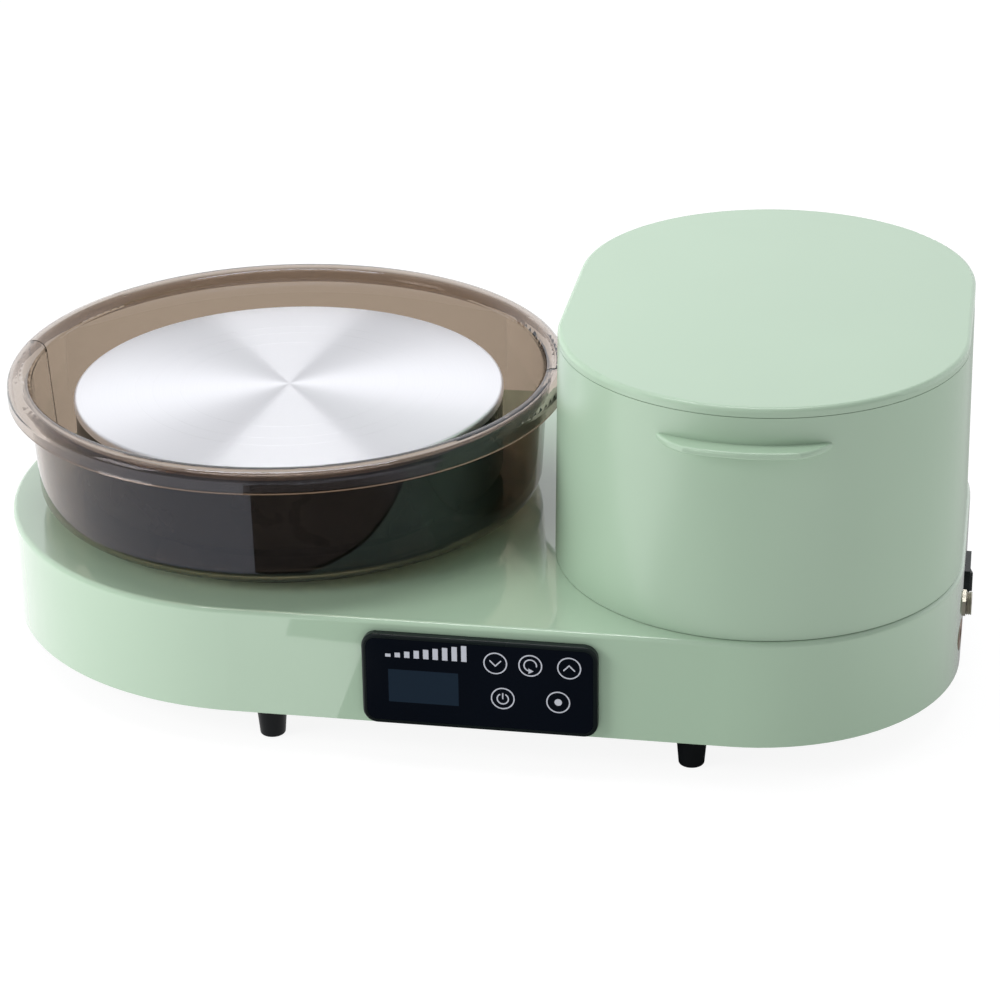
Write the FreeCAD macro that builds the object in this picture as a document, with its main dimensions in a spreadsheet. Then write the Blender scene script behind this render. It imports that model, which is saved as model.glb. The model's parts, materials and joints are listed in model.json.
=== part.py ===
import FreeCAD, Part
import Sketcher
import math
import os

# Desktop pottery wheel: a long low base on four feet carries a belt-driven wheel
# head inside a two-part splash pan, and a lidded storage box beside it.
# Millimetres, +Z up. The origin is on the surface that the feet stand on, under the
# middle of the outline. Lengths named ..._rise count up from the base's top face.

doc = FreeCAD.newDocument("pottery_wheel")
sheet = doc.addObject("Spreadsheet::Sheet", "Sizes")


class Size:
    """A size kept both as a sheet expression and as a number."""

    def __init__(self, text, value):
        self.text = text
        self.value = float(value)

    def __add__(self, other):
        return joined(self, "+", other)

    def __radd__(self, other):
        return joined(other, "+", self)

    def __sub__(self, other):
        return joined(self, "-", other)

    def __rsub__(self, other):
        return joined(other, "-", self)

    def __mul__(self, other):
        return joined(self, "*", other)

    def __rmul__(self, other):
        return joined(other, "*", self)

    def __truediv__(self, other):
        return joined(self, "/", other)

    def __neg__(self):
        return joined(0, "-", self)


def as_size(item):
    """A plain number as a Size; a Size as it is."""
    if isinstance(item, Size):
        return item
    return Size("(%r)" % float(item), item)


def joined(left, sign, right):
    """The Size of left sign right."""
    left = as_size(left)
    right = as_size(right)
    results = {
        "+": lambda a, b: a + b,
        "-": lambda a, b: a - b,
        "*": lambda a, b: a * b,
        "/": lambda a, b: a / b,
    }
    value = results[sign](left.value, right.value)
    return Size("(%s %s %s)" % (left.text, sign, right.text), value)


def cosine(angle):
    """Cosine of a Size in degrees."""
    return Size("cos(%s * 1 deg)" % angle.text, math.cos(math.radians(angle.value)))


def sine(angle):
    """Sine of a Size in degrees."""
    return Size("sin(%s * 1 deg)" % angle.text, math.sin(math.radians(angle.value)))


sheet_rows = 0


def size(name, value):
    """Write one driving dimension into the sheet and return it as a Size."""
    global sheet_rows
    sheet_rows += 1
    sheet.set("A%d" % sheet_rows, name)
    sheet.set("B%d" % sheet_rows, str(value))
    sheet.setAlias("B%d" % sheet_rows, name)
    return Size("Sizes.%s" % name, value)


# ---------------------------------------------------------------- driving sizes

# base
foot_height = size("foot_height", 18.5)
base_height = size("base_height", 55)
base_depth = size("base_depth", 290)
base_reach = size("base_reach", 348)
base_end_radius = size("base_end_radius", 105)
base_edge_round = size("base_edge_round", 2.5)
shell_wall = size("shell_wall", 3)
cover_thick = size("cover_thick", 2.5)
boss_radius = size("boss_radius", 40)
boss_rise = size("boss_rise", 14)
flange_pad = size("flange_pad", 4)

# clearances
fit_gap = size("fit_gap", 0.4)
seat_gap = size("seat_gap", 0.3)
press_gap = size("press_gap", 0.02)
run_gap = size("run_gap", 0.05)
screw_gap = size("screw_gap", 0.05)

# feet and screws
foot_span = size("foot_span", 207)
foot_start = size("foot_start", 17)
foot_inset = size("foot_inset", 15)
foot_top_radius = size("foot_top_radius", 7.8)
foot_bottom_radius = size("foot_bottom_radius", 6.2)
foot_sink_radius = size("foot_sink_radius", 4.2)
foot_sink_depth = size("foot_sink_depth", 10.5)
post_radius = size("post_radius", 5)
post_inset = size("post_inset", 12)
post_span = size("post_span", 140)
post_start = size("post_start", 55)
screw_radius = size("screw_radius", 1.5)
screw_head_radius = size("screw_head_radius", 2.8)
screw_head_height = size("screw_head_height", 1.6)
screw_bite = size("screw_bite", 10)
bolt_radius = size("bolt_radius", 2)
bolt_head_radius = size("bolt_head_radius", 3.5)
bolt_head_height = size("bolt_head_height", 3)
bolt_bite = size("bolt_bite", 4)

# wheel head, its skirt and hub
wheel_rise = size("wheel_rise", 57.5)
wheel_radius = size("wheel_radius", 110)
wheel_thick = size("wheel_thick", 5)
wheel_edge_round = size("wheel_edge_round", 2)
skirt_radius = size("skirt_radius", 109.4)
skirt_wall = size("skirt_wall", 2.5)
skirt_clear_rise = size("skirt_clear_rise", 16)
skirt_ring_width = size("skirt_ring_width", 36)
skirt_screw_radius = size("skirt_screw_radius", 90)
hub_flange_radius = size("hub_flange_radius", 50)
hub_flange_thick = size("hub_flange_thick", 5)
hub_boss_radius = size("hub_boss_radius", 18)
hub_boss_height = size("hub_boss_height", 10.5)
hub_screw_radius = size("hub_screw_radius", 38)

# spindle, bearings and their housing
spindle_radius = size("spindle_radius", 8.5)
nose_radius = size("nose_radius", 8)
shoulder_radius = size("shoulder_radius", 11)
shoulder_height = size("shoulder_height", 6)
bearing_radius = size("bearing_radius", 17.5)
bearing_width = size("bearing_width", 10)
race_thick = size("race_thick", 2.5)
ball_count = 8
housing_flange_radius = size("housing_flange_radius", 50)
housing_flange_thick = size("housing_flange_thick", 5)
housing_radius = size("housing_radius", 24)
housing_bore_radius = size("housing_bore_radius", 14)
housing_lip = size("housing_lip", 2)
housing_screw_radius = size("housing_screw_radius", 44)

# belt drive and motor
spindle_end_gap = size("spindle_end_gap", 2.5)
clip_thick = size("clip_thick", 1)
clip_radius = size("clip_radius", 11)
clip_depth = size("clip_depth", 0.7)
pulley_width = size("pulley_width", 9.4)
pulley_flange = size("pulley_flange", 1.4)
pulley_lip = size("pulley_lip", 2)
pulley_hub_radius = size("pulley_hub_radius", 14)
pulley_web = size("pulley_web", 4)
pulley_rim = size("pulley_rim", 5)
driven_radius = size("driven_radius", 60)
driver_radius = size("driver_radius", 12)
belt_thick = size("belt_thick", 1.8)
belt_gap = size("belt_gap", 0.3)
motor_along = size("motor_along", 150)
motor_across = size("motor_across", 30)
motor_radius = size("motor_radius", 36)
motor_height = size("motor_height", 24)
motor_wall = size("motor_wall", 2)
motor_shaft_radius = size("motor_shaft_radius", 4)
rotor_radius = size("rotor_radius", 22)
stator_thick = size("stator_thick", 9)
air_gap = size("air_gap", 0.5)
bracket_length = size("bracket_length", 96)
bracket_width = size("bracket_width", 84)
bracket_thick = size("bracket_thick", 2.5)
bracket_drop = size("bracket_drop", 6)
bracket_screw_inset = size("bracket_screw_inset", 8)
motor_screw_radius = size("motor_screw_radius", 16)

# splash pan
pan_rise = size("pan_rise", 71.2)
pan_lip_radius = size("pan_lip_radius", 143.1)
pan_lip_width = size("pan_lip_width", 12.1)
pan_lip_drop = size("pan_lip_drop", 11)
pan_bottom_radius = size("pan_bottom_radius", 129.5)
pan_wall = size("pan_wall", 2.5)
pan_corner_round = size("pan_corner_round", 8)
pan_floor_rise = size("pan_floor_rise", 5)
pan_collar_radius = size("pan_collar_radius", 88)
pan_collar_rise = size("pan_collar_rise", 12)
pan_ring_radius = size("pan_ring_radius", 112)
pan_ring_width = size("pan_ring_width", 3)
pan_split = size("pan_split", 6)
pan_split_gap = size("pan_split_gap", 0.8)

# storage box and lid
box_along = size("box_along", 246)
box_across = size("box_across", -4)
box_half_width = size("box_half_width", 99)
box_half_depth = size("box_half_depth", 136)
box_height = size("box_height", 112.5)
box_taper = size("box_taper", 1.5)
box_wall = size("box_wall", 2.5)
pad_rise = size("pad_rise", 2)
pad_gap = size("pad_gap", 1.2)
lid_height = size("lid_height", 4.5)
lid_top = size("lid_top", 2.5)
lid_edge_round = size("lid_edge_round", 2.2)
lid_rim_depth = size("lid_rim_depth", 6)
lid_rim_wall = size("lid_rim_wall", 2)
ledge_half_length = size("ledge_half_length", 43)
ledge_reach = size("ledge_reach", 10)
ledge_thick = size("ledge_thick", 3.4)
ledge_rise = size("ledge_rise", 99.7)
ledge_corner = size("ledge_corner", 30)
ledge_round = size("ledge_round", 1.3)

# control panel
panel_along = size("panel_along", 124)
panel_drop = size("panel_drop", 29.5)
panel_width = size("panel_width", 114)
panel_height = size("panel_height", 48)
panel_proud = size("panel_proud", 4)
panel_corner = size("panel_corner", 7)
panel_bevel = size("panel_bevel", 1.2)
overlay_border = size("overlay_border", 2.2)
overlay_thick = size("overlay_thick", 1.2)
window_along = size("window_along", -27)
window_rise = size("window_rise", -3)
window_width = size("window_width", 34)
window_height = size("window_height", 17.5)
display_thick = size("display_thick", 5)
board_thick = size("board_thick", 1.6)
control_board_margin = size("control_board_margin", 5)
spacer_length = size("spacer_length", 2)
panel_screw_inset = size("panel_screw_inset", 10)
panel_screw_bite = size("panel_screw_bite", 2)

# right-hand fittings
fitting_drop = size("fitting_drop", 28)
switch_across = size("switch_across", 2)
switch_length = size("switch_length", 24)
switch_height = size("switch_height", 15)
switch_flange = size("switch_flange", 2.5)
switch_rim = size("switch_rim", 1.2)
switch_depth = size("switch_depth", 15)
switch_wall = size("switch_wall", 0.8)
rocker_radius = size("rocker_radius", 9.5)
rocker_rest = size("rocker_rest", 7.5)
rocker_crown = size("rocker_crown", 3.6)
rocker_dip = size("rocker_dip", 1.2)
rocker_back = size("rocker_back", 4)
pivot_depth = size("pivot_depth", 3.2)
pivot_radius = size("pivot_radius", 0.9)
socket_across = size("socket_across", -30.5)
socket_radius = size("socket_radius", 6)
socket_wall = size("socket_wall", 1.1)
socket_proud = size("socket_proud", 4.4)
socket_depth = size("socket_depth", 14)
socket_flange = size("socket_flange", 8)
socket_nut_radius = size("socket_nut_radius", 7.4)
socket_nut_thick = size("socket_nut_thick", 1.5)
socket_body_step = size("socket_body_step", 0.3)
socket_thread_gap = size("socket_thread_gap", 0.2)
socket_relief = size("socket_relief", 0.5)
socket_mouth = size("socket_mouth", 4.1)
socket_pin_count = 5
socket_pin_ring = size("socket_pin_ring", 3.7)
socket_pin_radius = size("socket_pin_radius", 0.5)
inlet_turn = size("inlet_turn", 4)
inlet_drop = size("inlet_drop", 9)
inlet_radius = size("inlet_radius", 8)
inlet_body_radius = size("inlet_body_radius", 6)
inlet_face = size("inlet_face", 1)
inlet_depth = size("inlet_depth", 14)
inlet_well_radius = size("inlet_well_radius", 3)
inlet_nut_radius = size("inlet_nut_radius", 9)
inlet_nut_thick = size("inlet_nut_thick", 2.5)

# power board
board_along = size("board_along", 252)
board_across = size("board_across", 10)
board_length = size("board_length", 92)
board_width = size("board_width", 70)
standoff_height = size("standoff_height", 10)
standoff_radius = size("standoff_radius", 3)
board_screw_inset = size("board_screw_inset", 5)

# ---------------------------------------------------------------- derived places

base_top = foot_height + base_height
ceiling = base_top - shell_wall
cover_top = foot_height + cover_thick
wheel_x = -(base_reach + socket_proud - base_depth / 2) / 2
ledge_front = box_half_depth - box_across + ledge_reach
wheel_y = (ledge_front - base_depth / 2) / 2
side_x = wheel_x + base_reach
front_y = wheel_y - base_depth / 2
end_x = side_x - base_end_radius
end_side = base_depth / 2 - base_end_radius
head_top = base_top + wheel_rise
head_under = head_top - wheel_thick
hub_under = head_under - hub_flange_thick
shoulder_top = hub_under - hub_boss_height
shoulder_low = shoulder_top - shoulder_height
flange_top = ceiling - flange_pad
housing_low = flange_top - housing_flange_thick
pulley_low = cover_top + spindle_end_gap + clip_thick * 2.6
pulley_top = pulley_low + pulley_width
belt_low = pulley_low + pulley_flange + belt_gap
belt_width = pulley_width - (pulley_flange + belt_gap) * 2
motor_x = wheel_x + motor_along
motor_y = wheel_y + motor_across
bracket_top = ceiling - bracket_drop
motor_top = bracket_top - bracket_thick
motor_low = motor_top - motor_height
box_x = wheel_x + box_along
box_y = wheel_y + box_across
box_low = base_top + seat_gap
box_top = box_low + box_height
box_arm = box_half_depth - box_half_width
panel_x = wheel_x + panel_along
panel_z = base_top - panel_drop
panel_front = front_y - panel_proud
fitting_z = base_top - fitting_drop

SCREW = (screw_radius, screw_head_radius, screw_head_height)
BOLT = (bolt_radius, bolt_head_radius, bolt_head_height)

UP = FreeCAD.Vector(0, 0, 1)
FACING = {
    "up": FreeCAD.Rotation(),
    "down": FreeCAD.Rotation(FreeCAD.Vector(1, 0, 0), 180),
    "right": FreeCAD.Rotation(UP, FreeCAD.Vector(1, 0, 0)),
    "left": FreeCAD.Rotation(UP, FreeCAD.Vector(-1, 0, 0)),
    "front": FreeCAD.Rotation(UP, FreeCAD.Vector(0, -1, 0)),
    "back": FreeCAD.Rotation(UP, FreeCAD.Vector(0, 1, 0)),
}
NOWHERE = as_size(0)
nodes = {}


# ---------------------------------------------------------------- shape helpers

def bind(item, prop, value):
    """Bind a property of an object to a Size."""
    item.setExpression(prop, as_size(value).text)


def place(item, x, y, z, rotation=None):
    """Turn an object, then bind its place to three Sizes."""
    item.Placement = FreeCAD.Placement(FreeCAD.Vector(), rotation or FACING["up"])
    bind(item, "Placement.Base.x", x)
    bind(item, "Placement.Base.y", y)
    bind(item, "Placement.Base.z", z)


def node(item, name):
    """Register an object as the sub-part called name."""
    item.Label = name
    nodes[name] = item
    return item


def box(name, length, width, height, x, y, z):
    """A block from its low corner."""
    item = doc.addObject("Part::Box", name)
    bind(item, "Length", length)
    bind(item, "Width", width)
    bind(item, "Height", height)
    place(item, x, y, z)
    return item


def centred_box(name, length, width, height, x, y, z):
    """A block centred in X and Y, from z up."""
    return box(name, length, width, height, x - as_size(length) / 2, y - as_size(width) / 2, z)


def cylinder(name, radius, height, x, y, z, facing="up"):
    """A round bar that starts at a point and runs the way it faces."""
    item = doc.addObject("Part::Cylinder", name)
    bind(item, "Radius", radius)
    bind(item, "Height", height)
    rotation = FACING[facing] if isinstance(facing, str) else facing
    place(item, x, y, z, rotation)
    return item


def cone(name, low_radius, high_radius, height, x, y, z):
    """A tapered round bar, wide or narrow end down."""
    item = doc.addObject("Part::Cone", name)
    bind(item, "Radius1", low_radius)
    bind(item, "Radius2", high_radius)
    bind(item, "Height", height)
    place(item, x, y, z)
    return item


def fuse(name, items):
    """One solid from several that touch."""
    item = doc.addObject("Part::MultiFuse", name)
    item.Shapes = items
    item.Refine = True
    return item


def group(name, items):
    """Several separate solids kept together."""
    item = doc.addObject("Part::Compound", name)
    item.Links = items
    return item


def cut(name, base, tools):
    """A solid less every tool."""
    item = doc.addObject("Part::Cut", name)
    item.Base = base
    item.Tool = tools[0] if len(tools) == 1 else group(name + "_tools", tools)
    item.Refine = True
    return item


def common(name, first, second):
    """What two solids share."""
    item = doc.addObject("Part::Common", name)
    item.Base = first
    item.Tool = second
    item.Refine = True
    return item


def rounded(name, base, radius, wanted):
    """Round the edges of a solid for which wanted(edge) is true."""
    doc.recompute()
    item = doc.addObject("Part::Fillet", name)
    item.Base = base
    picks = [i for i, edge in enumerate(base.Shape.Edges, 1) if wanted(edge)]
    item.Edges = [(i, radius.value, radius.value) for i in picks]
    base.Visibility = False
    return item


def level_edge(height):
    """A test for edges that lie flat at a height."""
    def wanted(edge):
        bounds = edge.BoundBox
        return abs(bounds.ZMin - height.value) < 0.001 and bounds.ZLength < 0.001
    return wanted


def sketch_on(body, role, name):
    """A sketch on one of a body's own origin planes."""
    sketch = body.newObject("Sketcher::SketchObject", name)
    plane = [item for item in body.Origin.OriginFeatures if item.Role == role][0]
    sketch.AttachmentSupport = [(plane, "")]
    sketch.MapMode = "FlatFace"
    return sketch


def outline(sketch, corners):
    """A closed run of lines through corners whose places are Sizes."""
    corners = [(as_size(x), as_size(y)) for x, y in corners]
    count = len(corners)
    for index in range(count):
        start = FreeCAD.Vector(corners[index][0].value, corners[index][1].value, 0)
        after = corners[(index + 1) % count]
        end = FreeCAD.Vector(after[0].value, after[1].value, 0)
        sketch.addGeometry(Part.LineSegment(start, end), False)
    for index in range(count):
        following = (index + 1) % count
        sketch.addConstraint(Sketcher.Constraint("Coincident", index, 2, following, 1))
    for index, (x, y) in enumerate(corners):
        for kind, value, axis in (("DistanceX", x, -2), ("DistanceY", y, -1)):
            if value.value == 0:
                rule = Sketcher.Constraint("PointOnObject", index, 1, axis)
                sketch.addConstraint(rule)
                continue
            rule = Sketcher.Constraint(kind, -1, 1, index, 1, value.value)
            number = sketch.addConstraint(rule)
            sketch.setExpression("Constraints[%d]" % number, value.text)


def revolved(name, corners, x=NOWHERE, y=NOWHERE, z=NOWHERE, rotation=None):
    """A body turned about its own Z axis from (radius, height) corners."""
    body = doc.addObject("PartDesign::Body", name)
    sketch = sketch_on(body, "XZ_Plane", name + "_profile")
    outline(sketch, corners)
    turn = body.newObject("PartDesign::Revolution", name + "_turn")
    turn.Profile = sketch
    turn.ReferenceAxis = (sketch, ["V_Axis"])
    turn.Angle = 360
    place(body, x, y, z, rotation)
    return body


def at_wheel(name, corners):
    """A body turned about the wheel's axis; heights count from the table."""
    return revolved(name, corners, wheel_x, wheel_y)


def at_motor(name, corners):
    """A body turned about the motor's axis; heights count from the table."""
    return revolved(name, corners, motor_x, motor_y)


def ring_corners(inner, outer, low, high):
    """Corners of a plain ring's section."""
    return [(inner, low), (outer, low), (outer, high), (inner, high)]


def round_rims(body, rims, radius):
    """Round the circular edges of a turned body at the given radii and heights."""
    doc.recompute()
    base = body.Tip
    names = []
    for number, edge in enumerate(base.Shape.Edges, 1):
        if not isinstance(edge.Curve, Part.Circle):
            continue
        for rim_radius, rim_height in rims:
            near = abs(edge.Curve.Radius - as_size(rim_radius).value) < 0.001
            level = abs(edge.Curve.Center.z - as_size(rim_height).value) < 0.001
            if near and level:
                names.append("Edge%d" % number)
    fillet = body.newObject("PartDesign::Fillet", body.Name + "_round")
    fillet.Base = (base, names)
    bind(fillet, "Radius", radius)
    return body


def screw(name, kind, length, x, y, z, facing):
    """A socket-head screw; the point is under the head and the shank runs as it faces."""
    radius, head_radius, head_height = kind
    turn = FACING[facing]
    way = turn.multVec(UP)
    back_x = x - head_height * way.x
    back_y = y - head_height * way.y
    back_z = z - head_height * way.z
    head = cylinder(name + "_head", head_radius, head_height, back_x, back_y, back_z, facing)
    shank = cylinder(name + "_shank", radius, length, x, y, z, facing)
    drive = doc.addObject("Part::Prism", name + "_drive")
    drive.Polygon = 6
    bind(drive, "Circumradius", radius * 0.8)
    bind(drive, "Height", head_height * 0.6)
    place(drive, back_x, back_y, back_z, turn)
    return cut(name, fuse(name + "_blank", [head, shank]), [drive])


def screw_set(name, kind, length, spots, z, facing):
    """A node of equal screws that stand at (x, y) spots."""
    items = []
    for number, (x, y) in enumerate(spots, 1):
        items.append(screw("%s_%d" % (name, number), kind, length, x, y, z, facing))
    return node(group(name + "_set", items), name)


def holes(name, radius, depth, spots, z, facing="up"):
    """Round holes at (x, y) spots, as tools for a cut."""
    items = []
    for number, (x, y) in enumerate(spots, 1):
        items.append(cylinder("%s_%d" % (name, number), radius, depth, x, y, z, facing))
    return items


def circle_spots(x, y, radius, count, start):
    """Places on a circle, a number of equal turns from the start angle in degrees."""
    spots = []
    for number in range(count):
        angle = math.radians(start + 360.0 * number / count)
        spots.append((x + radius * math.cos(angle), y + radius * math.sin(angle)))
    return spots


def corner_spots(x, y, half_length, half_width):
    """The four corners of a rectangle about a point."""
    return [(x + half_length * i, y + half_width * j) for i in (-1, 1) for j in (-1, 1)]


def plan_block(name, inset, z, height):
    """The base's long outline, drawn in by an inset: round at the left, squarer at the right."""
    half = base_depth / 2 - inset
    corner = base_end_radius - inset
    left = cylinder(name + "_left", half, height, wheel_x, wheel_y, z)
    middle = box(name + "_middle", end_x - wheel_x, half * 2, height, wheel_x, wheel_y - half, z)
    right = box(name + "_right", corner, end_side * 2, height, end_x, wheel_y - end_side, z)
    front = cylinder(name + "_front", corner, height, end_x, wheel_y - end_side, z)
    rear = cylinder(name + "_rear", corner, height, end_x, wheel_y + end_side, z)
    return fuse(name, [left, middle, right, front, rear])


def oblong(name, half_width, z, height):
    """A straight-sided oblong on the storage box's two centres."""
    middle = centred_box(name + "_middle", half_width * 2, box_arm * 2, height, box_x, box_y, z)
    front = cylinder(name + "_front", half_width, height, box_x, box_y - box_arm, z)
    rear = cylinder(name + "_rear", half_width, height, box_x, box_y + box_arm, z)
    return fuse(name, [middle, front, rear])


def tapered_oblong(name, low_half, high_half, z, height):
    """The same oblong with a draft from its bottom to its top."""
    front = cone(name + "_front", low_half, high_half, height, box_x, box_y - box_arm, z)
    rear = cone(name + "_rear", low_half, high_half, height, box_x, box_y + box_arm, z)
    middle = doc.addObject("Part::Wedge", name + "_middle")
    for prop, value in (
        ("Xmin", -low_half), ("Xmax", low_half), ("X2min", -high_half), ("X2max", high_half),
        ("Ymin", NOWHERE), ("Ymax", height),
        ("Zmin", -box_arm), ("Zmax", box_arm), ("Z2min", -box_arm), ("Z2max", box_arm),
    ):
        bind(middle, prop, value)
    place(middle, box_x, box_y, z, FreeCAD.Rotation(FreeCAD.Vector(1, 0, 0), 90))
    return fuse(name, [middle, front, rear])


def panel_plate(name, width, height, corner, thick, y):
    """A rounded upright plate centred on the control panel, its front face at y."""
    inner_width = width - corner * 2
    inner_height = height - corner * 2
    low = panel_z - height / 2
    left = panel_x - width / 2
    wide = box(name + "_wide", width, thick, inner_height, left, y, low + corner)
    tall = box(name + "_tall", inner_width, thick, height, left + corner, y, low)
    items = [wide, tall]
    for number, (i, j) in enumerate(((-1, -1), (-1, 1), (1, -1), (1, 1)), 1):
        x = panel_x + inner_width / 2 * i
        z = panel_z + inner_height / 2 * j
        items.append(cylinder("%s_corner_%d" % (name, number), corner, thick, x, y, z, "back"))
    return fuse(name, items)


# ---------------------------------------------------------------- base

foot_spots = []
for along in (foot_start, foot_start + foot_span):
    for side in (-1, 1):
        across = (base_depth / 2 - foot_inset) * side
        foot_spots.append((wheel_x + along, wheel_y + across))
FOOT_NAMES = ("foot_front_left", "foot_rear_left", "foot_front_right", "foot_rear_right")

post_ring = base_depth / 2 - post_inset
post_spots = []
for angle in (120, 180, 240):
    turn = math.radians(angle)
    post_spots.append((wheel_x + post_ring * math.cos(turn), wheel_y + post_ring * math.sin(turn)))
for along in (post_start, post_start + post_span):
    for side in (-1, 1):
        post_spots.append((wheel_x + along, wheel_y + post_ring * side))
post_diagonal = (base_end_radius - post_inset) * math.sqrt(0.5)
for side in (-1, 1):
    post_spots.append((end_x + post_diagonal, wheel_y + (end_side + post_diagonal) * side))

housing_spots = circle_spots(wheel_x, wheel_y, housing_screw_radius, 4, 45)
bracket_spots = corner_spots(
    motor_x,
    motor_y,
    bracket_length / 2 - bracket_screw_inset,
    bracket_width / 2 - bracket_screw_inset,
)
panel_screw_spots = corner_spots(
    panel_x,
    panel_z,
    panel_width / 2 - panel_screw_inset,
    panel_height / 2 - panel_screw_inset,
)
inlet_z = fitting_z - inlet_drop
inlet_x = end_x + base_end_radius * cosine(inlet_turn)
inlet_y = wheel_y - end_side - base_end_radius * sine(inlet_turn)
inlet_facing = FreeCAD.Rotation(
    UP,
    FreeCAD.Vector(
        math.cos(math.radians(inlet_turn.value)), -math.sin(math.radians(inlet_turn.value)), 0
    ),
)


def along_inlet(distance):
    """The place on the inlet's axis a distance outside the base's side."""
    return inlet_x + distance * cosine(inlet_turn), inlet_y - distance * sine(inlet_turn)


def make_base_shell():
    """The moulded top housing: skin, boss, box pad, screw posts and every opening."""
    body = rounded(
        "shell_skin",
        plan_block("shell_outer", NOWHERE, foot_height, base_height),
        base_edge_round,
        level_edge(base_top),
    )
    cavity = plan_block("shell_cavity", shell_wall, foot_height, base_height - shell_wall)
    hollow = cut("shell_hollow", body, [cavity])
    boss = cylinder("shell_boss", boss_radius, boss_rise + shell_wall, wheel_x, wheel_y, ceiling)
    flange_seat = cylinder(
        "shell_flange_seat", housing_flange_radius, flange_pad, wheel_x, wheel_y, flange_top
    )
    pad = oblong(
        "shell_pad", box_half_width + box_taper - box_wall - pad_gap, ceiling, shell_wall + pad_rise
    )
    posts = holes("shell_post", post_radius, ceiling - cover_top, post_spots, cover_top)
    posts += holes("shell_foot_post", post_radius, ceiling - cover_top, foot_spots, cover_top)
    posts += holes("shell_bracket_post", post_radius, bracket_drop, bracket_spots, bracket_top)
    solid = fuse("shell_solid", [hollow, boss, flange_seat, pad] + posts)

    tools = [
        cylinder(
            "shell_boss_core",
            boss_radius - shell_wall,
            boss_rise + flange_pad,
            wheel_x,
            wheel_y,
            flange_top,
        ),
        cylinder(
            "shell_housing_hole",
            housing_radius + fit_gap,
            boss_rise + shell_wall + flange_pad,
            wheel_x,
            wheel_y,
            ceiling,
        ),
    ]
    pilot = screw_radius + screw_gap
    tools += holes("shell_pilot", pilot, screw_bite, post_spots, cover_top)
    bolt_pilot = bolt_radius + screw_gap
    tools += holes("shell_foot_pilot", bolt_pilot, screw_bite, foot_spots, cover_top)
    tools += holes(
        "shell_housing_pilot", bolt_pilot, flange_pad + shell_wall / 2, housing_spots, flange_top
    )
    tools += holes("shell_bracket_pilot", pilot, bracket_drop, bracket_spots, bracket_top)
    for number, (x, z) in enumerate(panel_screw_spots, 1):
        tools.append(
            cylinder(
                "shell_panel_hole_%d" % number, pilot, shell_wall, x, front_y, z, "back"
            )
        )
    tools.append(
        box(
            "shell_display_hole",
            window_width + fit_gap * 4,
            shell_wall,
            window_height + fit_gap * 4,
            panel_x + window_along - window_width / 2 - fit_gap * 2,
            front_y,
            panel_z + window_rise - window_height / 2 - fit_gap * 2,
        )
    )
    opening_length = switch_length - switch_rim * 2 + fit_gap
    opening_height = switch_height - switch_rim * 2 + fit_gap
    tools.append(
        box(
            "shell_switch_hole",
            shell_wall,
            opening_length,
            opening_height,
            side_x - shell_wall,
            wheel_y + switch_across - opening_length / 2,
            fitting_z - opening_height / 2,
        )
    )
    tools.append(
        cylinder(
            "shell_socket_hole",
            socket_radius + fit_gap / 2,
            shell_wall,
            side_x - shell_wall,
            wheel_y + socket_across,
            fitting_z,
            "right",
        )
    )
    inner_x, inner_y = along_inlet(-shell_wall * 2)
    seat_x, seat_y = along_inlet(-inlet_face)
    tools.append(
        cylinder(
            "shell_inlet_hole",
            inlet_body_radius + fit_gap / 2,
            shell_wall * 3,
            inner_x,
            inner_y,
            inlet_z,
            inlet_facing,
        )
    )
    tools.append(
        cylinder(
            "shell_inlet_seat",
            inlet_radius + fit_gap / 2,
            shell_wall,
            seat_x,
            seat_y,
            inlet_z,
            inlet_facing,
        )
    )
    return node(cut("shell_finished", solid, tools), "base_shell")


def make_bottom_cover():
    """The flat closing plate, let into the shell's open underside."""
    plate = plan_block("cover_plate", shell_wall + fit_gap, foot_height, cover_thick)
    tools = holes("cover_hole", screw_radius + screw_gap, cover_thick, post_spots, foot_height)
    tools += holes("cover_foot_hole", bolt_radius + screw_gap, cover_thick, foot_spots, foot_height)
    board_holes = corner_spots(
        board_x, board_y, board_length / 2 - board_screw_inset, board_width / 2 - board_screw_inset
    )
    tools += holes("cover_board_hole", screw_radius + screw_gap, cover_thick, board_holes, foot_height)
    for number in range(5):
        x = motor_x + bracket_length / 8 * (number - 2)
        slot = centred_box(
            "cover_slot_%d" % (number + 1), 3, bracket_width / 2, cover_thick, x, motor_y, foot_height
        )
        tools.append(slot)
    return node(cut("cover_finished", plate, tools), "bottom_cover")


def make_foot(name, x, y):
    """A tapered rubber foot with a sunk hole for its screw."""
    sink = foot_sink_depth
    corners = [
        (foot_sink_radius, NOWHERE),
        (foot_bottom_radius, NOWHERE),
        (foot_top_radius, foot_height),
        (bolt_radius + screw_gap, foot_height),
        (bolt_radius + screw_gap, sink),
        (foot_sink_radius, sink),
    ]
    body = revolved(name + "_body", corners, x, y)
    round_rims(body, [(foot_bottom_radius, NOWHERE)], base_edge_round * 0.4)
    return node(body, name)


board_x = wheel_x + board_along
board_y = wheel_y + board_across

make_base_shell()
make_bottom_cover()
for foot_name, (foot_x, foot_y) in zip(FOOT_NAMES, foot_spots):
    make_foot(foot_name, foot_x, foot_y)
screw_set("cover_screws", SCREW, screw_bite, post_spots, foot_height, "up")
screw_set(
    "foot_screws",
    BOLT,
    foot_height - foot_sink_depth + cover_thick + screw_bite - screw_gap * 4,
    foot_spots,
    foot_sink_depth,
    "up",
)

# ---------------------------------------------------------------- bearing housing and spindle

bearing_high = shoulder_low - bearing_width
housing_top = shoulder_low + housing_lip
inner_race_radius = spindle_radius + race_thick
outer_race_radius = bearing_radius - race_thick
ball_ring = (inner_race_radius + outer_race_radius) / 2
ball_radius = (outer_race_radius - inner_race_radius) / 2 - run_gap * 2


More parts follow.
